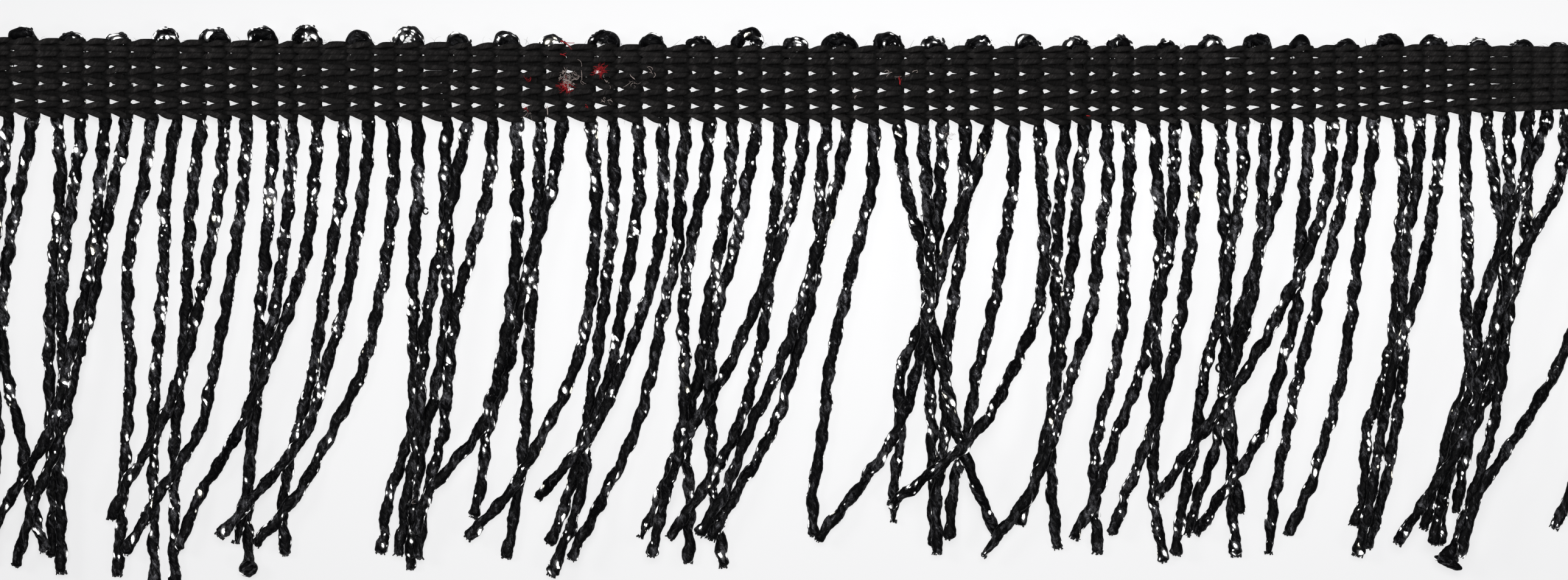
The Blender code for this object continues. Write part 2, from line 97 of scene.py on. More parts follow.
# One row for each cord in mm: X at the root, X at each reading depth, X of the tip, depth of the tip
CORD_TABLE = (
    (-106.3, -107.0, -107.6, -107.8, -107.8, -107.4, -107.5, -107.6, 55.5),
    (-103.2, -104.3, -105.2, -105.6, -105.5, -105.0, -105.4, -105.6, 56.8),
    (-100.2, -101.3, -102.0, -102.3, -102.1, -101.6, -102.4, -102.6, 57.0),
    (-97.0, -98.8, -100.2, -101.1, -100.6, -98.7, -97.4, -95.4, 55.3),
    (-93.9, -93.5, -94.2, -94.8, -95.0, -94.7, -94.5, -94.6, 56.0),
    (-90.8, -91.7, -92.9, -93.3, -93.1, -93.6, -93.4, -93.4, 58.0),
    (-87.8, -88.4, -89.3, -90.6, -92.5, -94.9, -99.7, -102.5, 53.0),
    (-84.9, -86.7, -88.2, -89.6, -91.6, -93.2, -96.4, -99.3, 57.2),
    (-81.8, -82.9, -84.6, -84.9, -84.5, -85.0, -85.5, -86.2, 58.5),
    (-78.5, -79.9, -80.1, -80.5, -81.2, -81.6, -81.5, -81.4, 59.5),
    (-75.3, -76.4, -77.0, -77.3, -77.9, -78.7, -78.8, -78.8, 59.5),
    (-72.3, -72.9, -74.2, -75.7, -77.9, -81.0, -85.7, -86.9, 51.2),
    (-69.4, -69.9, -70.9, -72.2, -73.8, -75.7, -80.8, -85.2, 55.6),
    (-66.0, -66.4, -67.0, -67.7, -68.3, -68.8, -69.3, -69.2, 58.1),
    (-63.5, -63.9, -64.7, -65.8, -67.5, -68.6, -69.5, -70.7, 54.2),
    (-60.3, -60.8, -61.7, -63.9, -67.1, -70.6, -75.5, -78.3, 55.0),
    (-56.8, -57.2, -58.4, -59.7, -60.9, -63.0, -64.7, -64.5, 55.8),
    (-53.6, -54.3, -55.5, -57.0, -59.3, -61.9, -68.3, -72.8, 53.2),
    (-50.5, -50.5, -51.2, -52.6, -54.6, -58.6, -63.0, -68.4, 54.4),
    (-47.4, -47.3, -47.8, -47.9, -47.8, -48.3, -51.0, -52.1, 55.6),
    (-43.6, -43.8, -43.5, -43.6, -44.6, -46.4, -47.7, -48.3, 57.6),
    (-40.9, -42.6, -44.3, -46.0, -46.8, -47.3, -48.7, -49.8, 55.8),
    (-37.7, -38.2, -40.3, -42.4, -43.3, -44.1, -46.2, -47.4, 56.2),
    (-34.5, -34.5, -34.5, -35.4, -36.8, -39.6, -46.0, -47.6, 53.0),
    (-31.5, -31.7, -32.2, -32.7, -33.2, -33.5, -34.5, -35.9, 56.2),
    (-28.7, -30.0, -32.3, -34.2, -35.9, -38.4, -39.4, -40.2, 50.8),
    (-25.0, -24.3, -24.5, -25.2, -27.2, -31.1, -35.8, -41.0, 53.6),
    (-22.1, -22.0, -22.5, -23.4, -24.5, -25.8, -27.9, -30.3, 54.4),
    (-18.9, -18.7, -19.7, -21.0, -22.4, -25.1, -26.3, -30.0, 58.3),
    (-15.7, -15.6, -16.2, -18.2, -21.1, -24.9, -31.7, -31.9, 48.4),
    (-12.7, -13.4, -13.8, -15.6, -17.1, -19.4, -23.3, -27.6, 56.3),
    (-9.6, -10.4, -12.1, -13.0, -12.8, -13.3, -16.0, -18.5, 53.6),
    (-6.6, -7.1, -8.3, -9.9, -10.9, -12.7, -12.2, -12.4, 56.8),
    (-3.5, -4.9, -6.4, -8.7, -9.6, -9.4, -9.1, -7.7, 57.2),
    (-0.5, -0.8, -1.7, -2.3, -3.8, -6.3, -11.0, -14.9, 53.6),
    (2.6, 1.6, -0.7, -3.9, -7.5, -12.3, -15.3, -17.1, 55.9),
    (5.5, 4.7, 4.5, 3.1, 1.0, -1.7, -6.4, -9.5, 53.6),
    (8.3, 6.7, 4.4, 2.0, -0.9, -4.7, -7.9, -11.1, 53.1),
    (11.6, 11.3, 9.4, 7.5, 5.8, 5.0, 3.7, 3.8, 53.3),
    (14.9, 15.7, 17.8, 18.7, 20.6, 22.4, 25.3, 27.5, 53.2),
    (18.0, 18.4, 18.8, 18.6, 17.1, 14.4, 8.9, 4.2, 53.8),
    (20.5, 20.2, 19.5, 18.5, 18.8, 19.1, 19.3, 19.4, 54.7),
    (23.4, 23.3, 22.9, 21.7, 20.8, 20.8, 19.7, 19.8, 55.6),
    (26.5, 24.1, 21.1, 18.7, 15.1, 15.0, 14.2, 14.1, 51.5),
    (29.7, 29.6, 28.3, 27.0, 25.0, 23.6, 21.7, 21.3, 53.7),
    (32.9, 33.4, 33.6, 32.8, 29.4, 24.6, 15.0, 13.5, 49.4),
    (36.3, 35.8, 35.2, 35.2, 35.0, 34.4, 34.7, 35.3, 55.0),
    (38.9, 38.0, 37.4, 36.3, 35.4, 33.9, 31.8, 30.3, 51.8),
    (41.7, 41.8, 40.6, 39.8, 37.3, 34.9, 31.4, 25.6, 55.8),
    (44.6, 44.6, 43.9, 43.9, 42.6, 40.5, 40.1, 40.6, 55.5),
    (47.9, 48.3, 48.7, 48.1, 48.1, 47.9, 47.8, 49.1, 56.7),
    (50.5, 50.3, 49.8, 47.9, 46.1, 43.0, 40.2, 37.4, 53.5),
    (53.3, 53.1, 52.5, 51.4, 49.8, 47.3, 44.1, 42.3, 53.1),
    (56.5, 56.8, 57.1, 56.9, 56.9, 56.2, 53.6, 51.9, 53.2),
    (59.3, 59.1, 57.7, 56.4, 54.3, 53.3, 51.7, 50.5, 55.8),
    (62.3, 61.9, 61.5, 59.1, 57.1, 57.9, 57.9, 58.4, 55.8),
    (65.0, 64.0, 61.5, 60.1, 57.8, 57.4, 58.1, 59.0, 50.4),
    (67.9, 67.4, 66.7, 66.2, 64.1, 61.6, 56.4, 53.1, 53.0),
    (70.9, 70.3, 67.9, 64.1, 59.5, 53.8, 48.3, 48.0, 48.6),
    (73.7, 72.5, 70.7, 68.7, 66.6, 65.0, 63.4, 62.6, 55.6),
    (76.3, 75.5, 74.3, 73.4, 72.2, 70.1, 67.5, 65.1, 53.2),
    (79.4, 80.2, 79.5, 79.1, 77.8, 75.3, 74.9, 73.7, 52.0),
    (82.2, 81.6, 80.2, 79.8, 79.9, 78.9, 77.4, 75.3, 54.9),
    (85.1, 84.3, 83.0, 80.9, 78.5, 77.1, 75.8, 74.1, 55.7),
    (88.0, 88.1, 88.4, 88.2, 88.6, 85.9, 84.3, 82.6, 52.4),
    (90.8, 91.9, 93.1, 92.6, 91.3, 88.0, 85.2, 84.8, 54.4),
    (93.7, 93.6, 93.3, 93.1, 91.9, 88.6, 87.2, 86.7, 50.2),
    (96.3, 96.0, 95.5, 93.5, 92.5, 91.1, 88.7, 85.6, 56.6),
    (98.9, 95.2, 92.4, 89.8, 89.0, 86.8, 84.8, 83.8, 54.4),
    (101.1, 99.9, 95.5, 92.4, 89.8, 87.8, 82.9, 79.0, 54.2),
    (104.1, 104.0, 103.7, 102.8, 99.7, 94.6, 89.3, 87.1, 55.9),
    (107.1, 107.2, 107.0, 106.6, 105.8, 104.2, 101.5, 99.5, 52.3),
)

# Cut tips that have spread: number of the cord from the left, width of the tip in mm
WIDE_TIPS = {13: 2.2, 16: 2.1, 28: 2.3, 52: 2.1, 60: 2.0, 67: 3.4}
# Cut tips that end in a point, and cut tips whose knitting has come open
POINTED_TIPS = (43, 48, 59, 14, 31)
FRAYED_TIPS = (17, 25, 28, 49, 51, 55, 5, 36, 63, 33)
# Tips that end in a lump: middle in mm, half sizes in mm, tilt in degrees
LUMPS = ((-69.2, -59.2, 1.5, 1.25, 1.05, 0.95, 10.0), (85.7, -58.4, 3.0, 2.0, 0.62, 0.55, -24.0))

# Turned loops from the left in mm: how far each stands over the heading's top edge, and how wide it shows
LOOP_STANDS = (1.2, 1.6, 1.05, 1.0, 1.65, 1.8, 1.9, 2.2, 1.5, 2.05, 1.3, 1.6, 1.2, 1.85, 1.45, 1.2, 2.3, 1.2,
               1.8, 1.8, 1.4, 1.5, 1.35, 1.35, 1.45, 1.0, 1.5, 1.65, 1.05, 0.8, 1.6, 1.5, 1.0, 1.0, 0.7, 1.0)
LOOP_WIDTHS = (3.3, 3.5, 3.1, 2.4, 3.3, 3.7, 3.9, 3.7, 3.5, 4.1, 3.1, 3.5, 3.5, 3.9, 3.3, 3.3, 3.9, 3.3,
               4.3, 3.9, 2.9, 3.5, 3.1, 3.3, 3.1, 2.4, 3.3, 3.5, 2.2, 2.2, 3.5, 3.3, 2.6, 2.2, 2.4, 3.0)
LOOP_LEAN = 0.25 * MM

# Rows of openings between the wales in mm: height and length of each opening
OPENING_HEIGHTS = (0.31, 0.58, 0.69, 0.75)
OPENING_LENGTHS = (0.28, 0.68, 0.88, 1.08)
# Upper and lower edge of the tape in mm: how far each stitch draws in, over what length, and its swell
EDGE_NOTCHES = (0.46, 0.80)
EDGE_LENGTHS = (1.1, 1.7)
EDGE_SWELLS = (0.0, 0.26)

# Small curls of film that stand out of a cord in mm: middle X, Y, height, radius and thickness
CURLS = ((56.2, -33.25, 2.3, 0.40, 0.15), (-46.3, -13.0, 1.4, 0.32, 0.10), (91.0, -29.5, 3.0, 0.36, 0.12))

# Lint caught on the trim in mm: X, Y, height, spread, number of fibres, and the way that a thread
# points in degrees, or none for a tuft
RED_LINT = ((-28.2, 3.1, 2.6, 0.9, 60, None), (-23.7, 5.15, 2.6, 0.75, 56, None),
            (15.0, 3.3, 2.75, 0.95, 3, 86.0), (19.7, -28.2, 1.7, 1.1, 3, 250.0),
            (-34.6, -22.5, 1.7, 0.6, 9, None), (39.0, -0.7, 2.6, 0.5, 2, -20.0),
            (-28.8, 9.0, 2.4, 1.6, 3, -38.0), (-28.9, 7.2, 2.7, 0.8, 3, -18.0),
            (-32.9, 3.9, 2.65, 0.5, 7, None), (-33.3, 0.2, 2.6, 0.45, 7, None),
            (-25.4, 0.4, 2.6, 0.35, 5, None))
PALE_LINT = ((-27.8, 3.9, 2.7, 0.95, 40, None), (-48.5, -50.7, 1.6, 0.8, 12, None),
             (21.3, -3.2, 1.5, 0.7, 10, None), (22.9, -15.2, 1.5, 0.5, 6, None),
             (-28.4, 5.0, 2.7, 0.6, 9, None), (-22.9, 3.9, 2.7, 0.6, 6, None),
             (-26.3, 4.6, 2.7, 1.0, 7, None), (-19.9, 3.6, 2.7, 1.0, 8, None),
             (-33.2, -0.4, 2.65, 0.9, 7, None), (-22.5, 1.2, 2.7, 0.9, 5, None),
             (-30.5, -0.5, 2.65, 1.2, 2, 100.0), (13.9, 4.6, 2.7, 0.7, 4, None),
             (16.8, 4.9, 2.7, 0.7, 3, None), (-17.4, 5.0, 2.7, 0.8, 4, None), (9.1, 2.4, 2.7, 0.7, 3, None))

FLAT_MAP = "length_round"
ROOTS = np.array([row[0] for row in CORD_TABLE]) * MM
WALE_SHARES = WALE_WIDTHS / WALE_WIDTHS.sum()


# Sizes and colours that a user would change


def length_prop(label, text, default, precision=5):
    """A length in metres."""
    return bpy.props.FloatProperty(name=label, description=text, default=default, unit="LENGTH",
                                   precision=precision)


def colour_prop(label, text, *default):
    """A colour, from its red, green and blue."""
    return bpy.props.FloatVectorProperty(name=label, description=text, default=(*default, 1.0), size=4,
                                         subtype="COLOR")


class CordSizes(bpy.types.PropertyGroup):
    """Sizes and colours of the metallic cords."""

    wide: length_prop("Wide side", "Width of the cord where it shows its flat side", 1.90 * MM)
    narrow: length_prop("Narrow side", "Width of the cord where it stands on edge", 1.39 * MM)
    height: length_prop("Height", "Height of the cord off what it lies on", 1.26 * MM)
    turn: length_prop("Turn", "Length in which the cord turns once about itself", 8.8 * MM)
    stitch: length_prop("Stitch", "Length of one stitch of the knitted cord", 1.0 * MM)
    ring_step: length_prop("Ring step", "Length of cord between rings of the mesh", 0.27 * MM)
    body: colour_prop("Body", "Colour of the black yarn and film", 0.0010, 0.0010, 0.0013)
    # Sheen: colour of the greyer film, a painted sheen
    sheen: colour_prop("Sheen", "Colour of the greyer, worn film", 0.083, 0.083, 0.090)
    # Glint: colour of the painted glints, white spots that stand in for the lamps mirrored in the film
    glint: colour_prop("Glint", "Colour of the bare, bright film", 1.0, 1.0, 1.0)


class HeadingSizes(bpy.types.PropertyGroup):
    """Sizes and colours of the knitted heading."""

    yarn_wide: length_prop("Yarn, loose", "Width of the yarn where a stitch is open", 0.85 * MM)
    yarn_tight: length_prop("Yarn, pulled", "Width of the yarn where stitches pull it in", 0.62 * MM)
    yarn_height: length_prop("Yarn height", "Height of the yarn", 0.51 * MM)
    face: length_prop("Face", "Height of the middle of the yarn at the face", 2.32 * MM)
    back: length_prop("Back", "Height of the middle of the yarn at the back of a stitch", 1.60 * MM)
    black: colour_prop("Black", "Colour of the spun yarn", 0.0102, 0.0095, 0.0095)
    fibre: colour_prop("Fibre", "Colour of the loose fibres of the yarn", 0.038, 0.035, 0.0345)


class StageSizes(bpy.types.PropertyGroup):
    """Camera, floor and lights."""

    distance: length_prop("Camera height", "Height of the camera over the floor", 1.3, 3)
    view_width: length_prop("View width", "Length of trim that the picture shows", 202.8 * MM, 3)
    middle: length_prop("View middle", "Y of the middle of the picture", -23.2 * MM, 3)
    # Floor: the colour that the floor glows with, brightest in its painted pool of light
    floor: colour_prop("Floor", "Colour of the floor", 0.80, 0.80, 0.807)


# The cords' lines and stacking, as in the solids


def heading_edges(along):
    """Y of the heading's top edge and of its lower edge at places along the trim, in metres."""
    places, top, low = np.array(HEADING_TABLE).T * MM
    return np.interp(along, places, top), np.interp(along, places, low)


def cord_curve(row):
    """Cubic through the readings of one cord in plan, from its root in the strip to its cut tip."""
    root, *read, tip, drop = row
    root_y = heading_edges(root * MM)[1] + STRIP_LOW_SETBACK
    kept = [(depth, place) for depth, place in zip(READING_DEPTHS, read) if depth < drop - TIP_CLEARANCE]
    depths, places = np.array([((DEPTH_ZERO - root_y) / MM, root), *kept, (drop, tip)]).T
    slopes = np.gradient(places, depths)
    slopes[0] *= ROOT_SLOPE_SHARE
    fine = np.linspace(depths[0], depths[-1], CURVE_POINTS)
    part = np.clip(np.searchsorted(depths, fine, side="right") - 1, 0, len(depths) - 2)
    span = depths[part + 1] - depths[part]
    share = (fine - depths[part]) / span
    rest = 1.0 - share
    across = (places[part] * (1.0 + 2.0 * share) * rest ** 2 + slopes[part] * span * share * rest ** 2
              + places[part + 1] * (3.0 - 2.0 * share) * share ** 2
              - slopes[part + 1] * span * rest * share ** 2)
    return np.stack([across * MM, DEPTH_ZERO - fine * MM], axis=1)


def lengths_along(line):
    """Length of a line up to each of its points."""
    steps = np.linalg.norm(np.diff(line, axis=0), axis=1)
    return np.concatenate([[0.0], np.cumsum(steps)])


def points_at(line, wanted, length):
    """Rows of a line, with any number of columns, at the wanted lengths; length is that of each row."""
    return np.stack([np.interp(wanted, length, column) for column in line.T], axis=-1)


def unit(vectors):
    """Vectors brought to a length of one."""
    return vectors / np.maximum(np.linalg.norm(vectors, axis=1, keepdims=True), 1e-12)


def side_vectors(points):
    """Unit vectors across a plan curve, pointing to the right of a cord that runs down."""
    ahead = unit(np.gradient(points, axis=0))
    return np.stack([-ahead[:, 1], ahead[:, 0]], axis=1)


def footprint(points, sides, widths):
    """Shares along a segment, and sampled places over each segment of a cord in plan."""
    share = np.linspace(0.0, 1.0, SAMPLES_ALONG)
    across = np.linspace(-1.0, 1.0, SAMPLES_ACROSS)
    half = sides * (widths / 2 + SIDE_GAP)[:, None]
    rows = points[:, None, :] + half[:, None, :] * across[None, :, None]
    return share, rows[:-1, None] * (1.0 - share)[:, None, None] + rows[1:, None] * share[:, None, None]


def lie_of_cords(paths):
    """Height of the underside of every cord at its rings; those that stray most lie on top.

    Each cord rests on the highest ground under it, climbs and falls no steeper than CLIMB_SLOPE, and its top
    is ground for the cords after it.
    """
    everywhere = np.concatenate([path[0] for path in paths])
    corner = everywhere.min(axis=0) - GROUND_MARGIN
    far_corner = everywhere.max(axis=0) + GROUND_MARGIN
    ground = np.zeros(np.ceil((far_corner - corner) / CELL).astype(int))
    stray = [abs(path[0][-1, 0] - path[0][0, 0]) for path in paths]
    heights = [None] * len(paths)
    for number in np.argsort(stray, kind="stable"):
        points = paths[number][0]
        share, places = footprint(*paths[number])
        cells = ((places - corner) / CELL).astype(int)
        needed = ground[cells[..., 0], cells[..., 1]].max(axis=2)
        over = needed.max(axis=1)
        lift = np.zeros(len(points))
        lift[1:-1] = np.maximum(over[:-1], over[1:])
        lift[-1] = over[-1]
        lift[1] = max(lift[1], (needed[0, 1:] / share[1:]).max())
        reach = np.linalg.norm(np.diff(points, axis=0), axis=1) * CLIMB_SLOPE
        for step in range(2, len(lift)):
            lift[step] = max(lift[step], lift[step - 1] - reach[step - 1])
        for step in range(len(lift) - 2, 0, -1):
            lift[step] = max(lift[step], lift[step + 1] - reach[step])
        top = lift[:-1, None] * (1.0 - share) + lift[1:, None] * share + SOLID_HEIGHT + LAYER_GAP
        np.maximum.at(ground, (cells[..., 0], cells[..., 1]),
                      np.broadcast_to(top[:, :, None], cells.shape[:3]))
        heights[number] = lift
    return heights


def lying_cords():
    """Every cord as a line in three columns: X, Y and the height of its underside."""
    curves, paths = [], []
    for index, row in enumerate(CORD_TABLE):
        curve = cord_curve(row)
        length = lengths_along(curve)
        rings = np.linspace(0.0, length[-1], SOLID_SEGMENTS + 1)
        points = points_at(curve, rings, length)
        widths = np.full(SOLID_SEGMENTS + 1, SOLID_WIDTH)
        widths[-1] = WIDE_TIPS.get(index, SOLID_WIDTH * SOLID_FLARE / MM) * MM
        curves.append((curve, length, rings))
        paths.append((points, side_vectors(points), widths))
    return [np.column_stack([curve, np.interp(length, rings, lift)])
            for (curve, length, rings), lift in zip(curves, lie_of_cords(paths))]


# Surfaces worked out as whole arrays


def oval(half_width, half_height, rings, sides, first=0.0):
    """Sections for a tube: x = half width * cos(angle), y = half height * sin(angle), for every ring."""
    angle = ROUND * np.arange(sides) / sides + first
    return (np.broadcast_to(half_width, rings)[:, None] * np.cos(angle),
            np.broadcast_to(half_height, rings)[:, None] * np.sin(angle))


def tube(centre, sections, girth, start=0.0, up=(0.0, 0.0, 1.0)):
    """A closed tube: point = centre + across * x + above * y, for every ring and every place round it.

    across = up x ahead and above = ahead x across, with ahead the direction of the line of centres.
    Gives points, four-cornered faces, end faces and a flat map in mm: length along, length round.
    """
    x_offsets, y_offsets = sections
    rings, sides = x_offsets.shape
    ahead = unit(np.gradient(centre, axis=0))
    across = unit(np.cross(np.array(up), ahead))
    above = np.cross(ahead, across)
    skin = centre[:, None] + across[:, None] * x_offsets[..., None] + above[:, None] * y_offsets[..., None]
    points = np.concatenate([skin.reshape(-1, 3), centre[:1], centre[-1:]])
    along = (start + lengths_along(centre)) / MM
    step = girth / MM / sides
    ring = np.arange(rings - 1)[:, None]
    place = np.arange(sides)
    after = (place + 1) % sides
    quads = np.stack([ring * sides + place, ring * sides + after,
                      (ring + 1) * sides + after, (ring + 1) * sides + place], axis=-1)
    u_map = along[ring[..., None] + np.array((0, 0, 1, 1))]
    v_map = (place[:, None] + np.array((0, 1, 1, 0))) * step
    quad_map = np.stack(np.broadcast_arrays(u_map, v_map), axis=-1)
    first_pole = np.full(sides, rings * sides)
    last = (rings - 1) * sides
    fans = np.stack([np.concatenate([first_pole, first_pole + 1]), np.concatenate([after, last + place]),
                     np.concatenate([place, last + after])], axis=1)
    fan_v = np.stack([place + 0.5, place + 1, place], axis=1) * step
    fan_u = np.repeat(along[[0, -1]], sides)[:, None] * np.ones(3)
    fan_map = np.stack([fan_u, np.concatenate([fan_v, fan_v[:, [0, 2, 1]]])], axis=2)
    return points, quads.reshape(-1, 4), fans, quad_map.reshape(-1, 2), fan_map.reshape(-1, 2)


def make_piece(name, parts, material, slot, *nodes):
    """Put surfaces into one piece that rides on the trim and stands for the named nodes."""
    offset = np.cumsum([0] + [len(part[0]) for part in parts[:-1]])
    points = np.concatenate([part[0] for part in parts])
    quads, fans = (np.concatenate([part[kind] + shift for part, shift in zip(parts, offset)])
                   for kind in (1, 2))
    flat_map = np.concatenate([part[3] for part in parts] + [part[4] for part in parts])
    corners = np.concatenate([quads.ravel(), fans.ravel()])
    starts = np.concatenate([np.arange(len(quads)) * 4, quads.size + np.arange(len(fans)) * 3])
    data = bpy.data.meshes.new(name)
    data.vertices.add(len(points))
    data.vertices.foreach_set("co", points.astype(np.float32).ravel())
    data.loops.add(len(corners))
    data.loops.foreach_set("vertex_index", corners.astype(np.int32))
    data.polygons.add(len(starts))
    data.polygons.foreach_set("loop_start", starts.astype(np.int32))
    data.update(calc_edges=True)
    data.uv_layers.new(name=FLAT_MAP).uv.foreach_set("vector", flat_map.astype(np.float32).ravel())
    data.polygons.foreach_set("use_smooth", np.ones(len(starts), dtype=bool))
    data.materials.append(material)
    if data.validate():
        raise RuntimeError(name + " has faces that aren't sound")
    piece = bpy.data.objects.new(name, data)
    bpy.context.scene.collection.objects.link(piece)
    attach(piece, "root")
    for node_name in nodes:
        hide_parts(node_name)
    return piece


def softened(rows, reach):
    """Rows along a line, each a bell-weighted mean of its neighbours; reach is the bell's width in rings."""
    count = int(math.ceil(3 * reach))
    weight = np.exp(-0.5 * (np.arange(-count, count + 1) / reach) ** 2)
    weight /= weight.sum()
    before = 2 * rows[:1] - rows[count:0:-1]
    after = 2 * rows[-1:] - rows[-2:-count - 2:-1]
    padded = np.concatenate([before, rows, after])
    return np.stack([np.convolve(column, weight, mode="valid") for column in padded.T], axis=1)


def waves(length, periods, sizes, random):
    """Sum of sines along a length, each from a random start; periods and sizes are in mm."""
    starts = random.uniform(0.0, ROUND, len(periods))
    return sum(size * MM * np.sin(ROUND * length / (period * MM) + begin)
               for period, size, begin in zip(periods, sizes, starts))


# Cords: pairs of neighbouring cords are one length that turns over the heading's top edge

# Line of centres and half height in mm, and share of the full width: where a cord is pressed behind the
# heading, at the foot of its loop, and at the loop's crown
SECTIONS = np.array(((0.80, 0.40, 0.80), (0.84, 0.43, 0.86), (1.50, 0.79, 1.10)))
PRESSED, LOOP_FOOT, LOOP_CROWN = SECTIONS * (MM, MM, 1.0)
PRESSED_AT = 0.18
# How far the line of centres lies inside the loop's outline, and its foot under the heading's top edge
CROWN_INSET = 0.90 * MM
SIDE_INSET = 0.50
LEAST_REACH = 0.80
FOOT_DROP = 0.75 * MM
# Points of the loop's half oval and its fullness; points of the run behind the heading, the share after which
# it heads for the foot of the loop, and the shares between which it keeps its pressed width
LOOP_POINTS = 25
LOOP_FULLNESS = 0.8
RUN_POINTS = 18
STEER_FROM = 0.72
PRESSED_SPAN = (0.12, 0.80)
# A hanging cord gets slimmer by this share down to this depth, as its end is no longer pulled
SLIMMER = 0.13
SLIM_DEPTH = 45.0 * MM
REST_GAP = 0.01 * MM

# Widths of a plain, a blunt and a frayed cut tip in mm, the lengths over which a tip is rounded, pointed or
# spread, the share of the width at the very point, and the most that a spread tip grows in height
TIP_WIDTHS = (1.62, 1.76, 1.86)
TIP_ROUND = 0.42 * MM
POINT_REACH = 2.4 * MM
POINT_WIDTH = 0.35
SPREAD_REACH = 1.3 * MM
THICKEST = 1.15

# Rings of the mesh: at a cut tip, from there on, and closer together round the crest of the loop
TIP_RINGS = np.array((0.0, 0.03, 0.09, 0.18, 0.3, 0.45, 0.65)) * MM
TIP_REACH = 0.9 * MM
CREST_REACH = 4 * MM
CREST_PACE = 0.6
RING_SOFTENING = 2.2
# Sides of the section, pieces that the cords are shared out to, girth in mm and a pair's length on the map
CORD_SIDES = 14
CORD_PIECES = 4
CORD_GIRTH = 4.6
PAIR_LENGTH = 190 * MM

# How a cord wanders, and how each of its flanks swells, in mm: periods and sizes
SWING = ((4.4, 2.9, 7.3), (0.075, 0.040, 0.055))
SWING_ONSET = 2.0 * MM
FLANK_PERIODS = ((2.1, 3.4, 0.97), (1.8, 2.9, 1.03))
FLANK_SWELLS = (0.030, 0.044, 0.034)
FLANK_LAG = 0.7
# Relief of the stitches along the cord, as a share of its width: size, level that counts as flat, length over
# which it sets in at a tip, and how much of it shows in the height
STITCH_RELIEF = 0.065
STITCH_LEVEL = 0.64
STITCH_ONSET = 0.6 * MM
UPRIGHT_RELIEF = 0.6
# Knobs of the loop: size, reach, and waves with their times round, period in mm, start and share
KNOB_RELIEF = 0.085
KNOB_REACH = 2.4 * MM
KNOBS = ((3, 2.6, 1, 1.0), (2, -1.7, 2, 1.0), (4, 1.15, 3, 0.5))


def pair_route(pair, cords, sizes):
    """Line of centres and half height of one pair of cords: up to the heading, over its top and down.

    Plan = left cord reversed, a run behind the heading, half an oval over the top edge, and the right cord.
    Height = underside from the solids + half the cord; behind the heading the cord is pressed flatter.
    The columns are X, Y, Z, half height and share of the full width.
    """
    half = sizes.height / 2
    routes = []
    for cord in cords[2 * pair:2 * pair + 2]:
        slim = 1.0 - SLIMMER * np.clip((DEPTH_ZERO - cord[:, 1]) / SLIM_DEPTH, 0.0, 1.0)
        routes.append(np.column_stack([cord[:, :2], cord[:, 2] + half + REST_GAP, half * slim ** 0.5, slim]))
    left, right = routes
    middle = (left[0, 0] + right[0, 0]) / 2 + LOOP_LEAN
    top = heading_edges(middle)[0]
    radius = max(LOOP_WIDTHS[pair] / 2 - SIDE_INSET, LEAST_REACH) * MM
    foot_y = top - FOOT_DROP
    crown_y = top + LOOP_STANDS[pair] * MM - CROWN_INSET
    turn = np.linspace(math.pi, 0.0, LOOP_POINTS)
    rise = np.sin(turn)[:, None] ** LOOP_FULLNESS
    loop = np.column_stack([middle + radius * np.cos(turn), foot_y + (crown_y - foot_y) * rise,
                            LOOP_FOOT + (LOOP_CROWN - LOOP_FOOT) * rise])
    share = np.linspace(0.0, 1.0, RUN_POINTS)[1:-1]
    late = np.clip((share - STEER_FROM) / (1.0 - STEER_FROM), 0.0, 1.0)
    ease = late ** 2 * (3 - 2 * late)
    climbs = []
    for route, end in ((left, loop[0]), (right, loop[-1])):
        height, thick = (np.interp(share, (0.0, PRESSED_AT, 1.0), (first, PRESSED[kind], LOOP_FOOT[kind]))
                         for kind, first in enumerate((route[0, 2], half)))
        width = np.interp(share, (0.0, *PRESSED_SPAN, 1.0), (1.0, PRESSED[2], PRESSED[2], LOOP_FOOT[2]))
        climbs.append(np.column_stack([route[0, 0] + (end[0] - route[0, 0]) * ease,
                                       route[0, 1] + (end[1] - route[0, 1]) * share,
                                       height, thick, width]))
    return np.concatenate([left[::-1], climbs[0], loop, climbs[1][::-1], right])


def tip_shape(index, inward):
    """Share of the full width at lengths inward from a cut tip: rounded, pointed, or spread and blunt."""
    plain, blunt, frayed = TIP_WIDTHS
    round_off = np.sqrt(np.clip(1.0 - (1.0 - np.minimum(inward / TIP_ROUND, 1.0)) ** 2, 0.0, 1.0))
    if index in POINTED_TIPS:
        return round_off * (POINT_WIDTH + (1.0 - POINT_WIDTH) * np.clip(inward / POINT_REACH, 0.0, 1.0))
    spread = WIDE_TIPS.get(index, frayed if index in FRAYED_TIPS else blunt) / plain - 1.0
    return round_off * (1.0 + spread * np.exp(-(inward / SPREAD_REACH) ** 2))


def lengths_and_crest(route):
    """Length of a pair's route up to each of its points, and the length at its highest Y."""
    length = lengths_along(route[:, :3])
    return length, length[np.argmax(route[:, 1])]


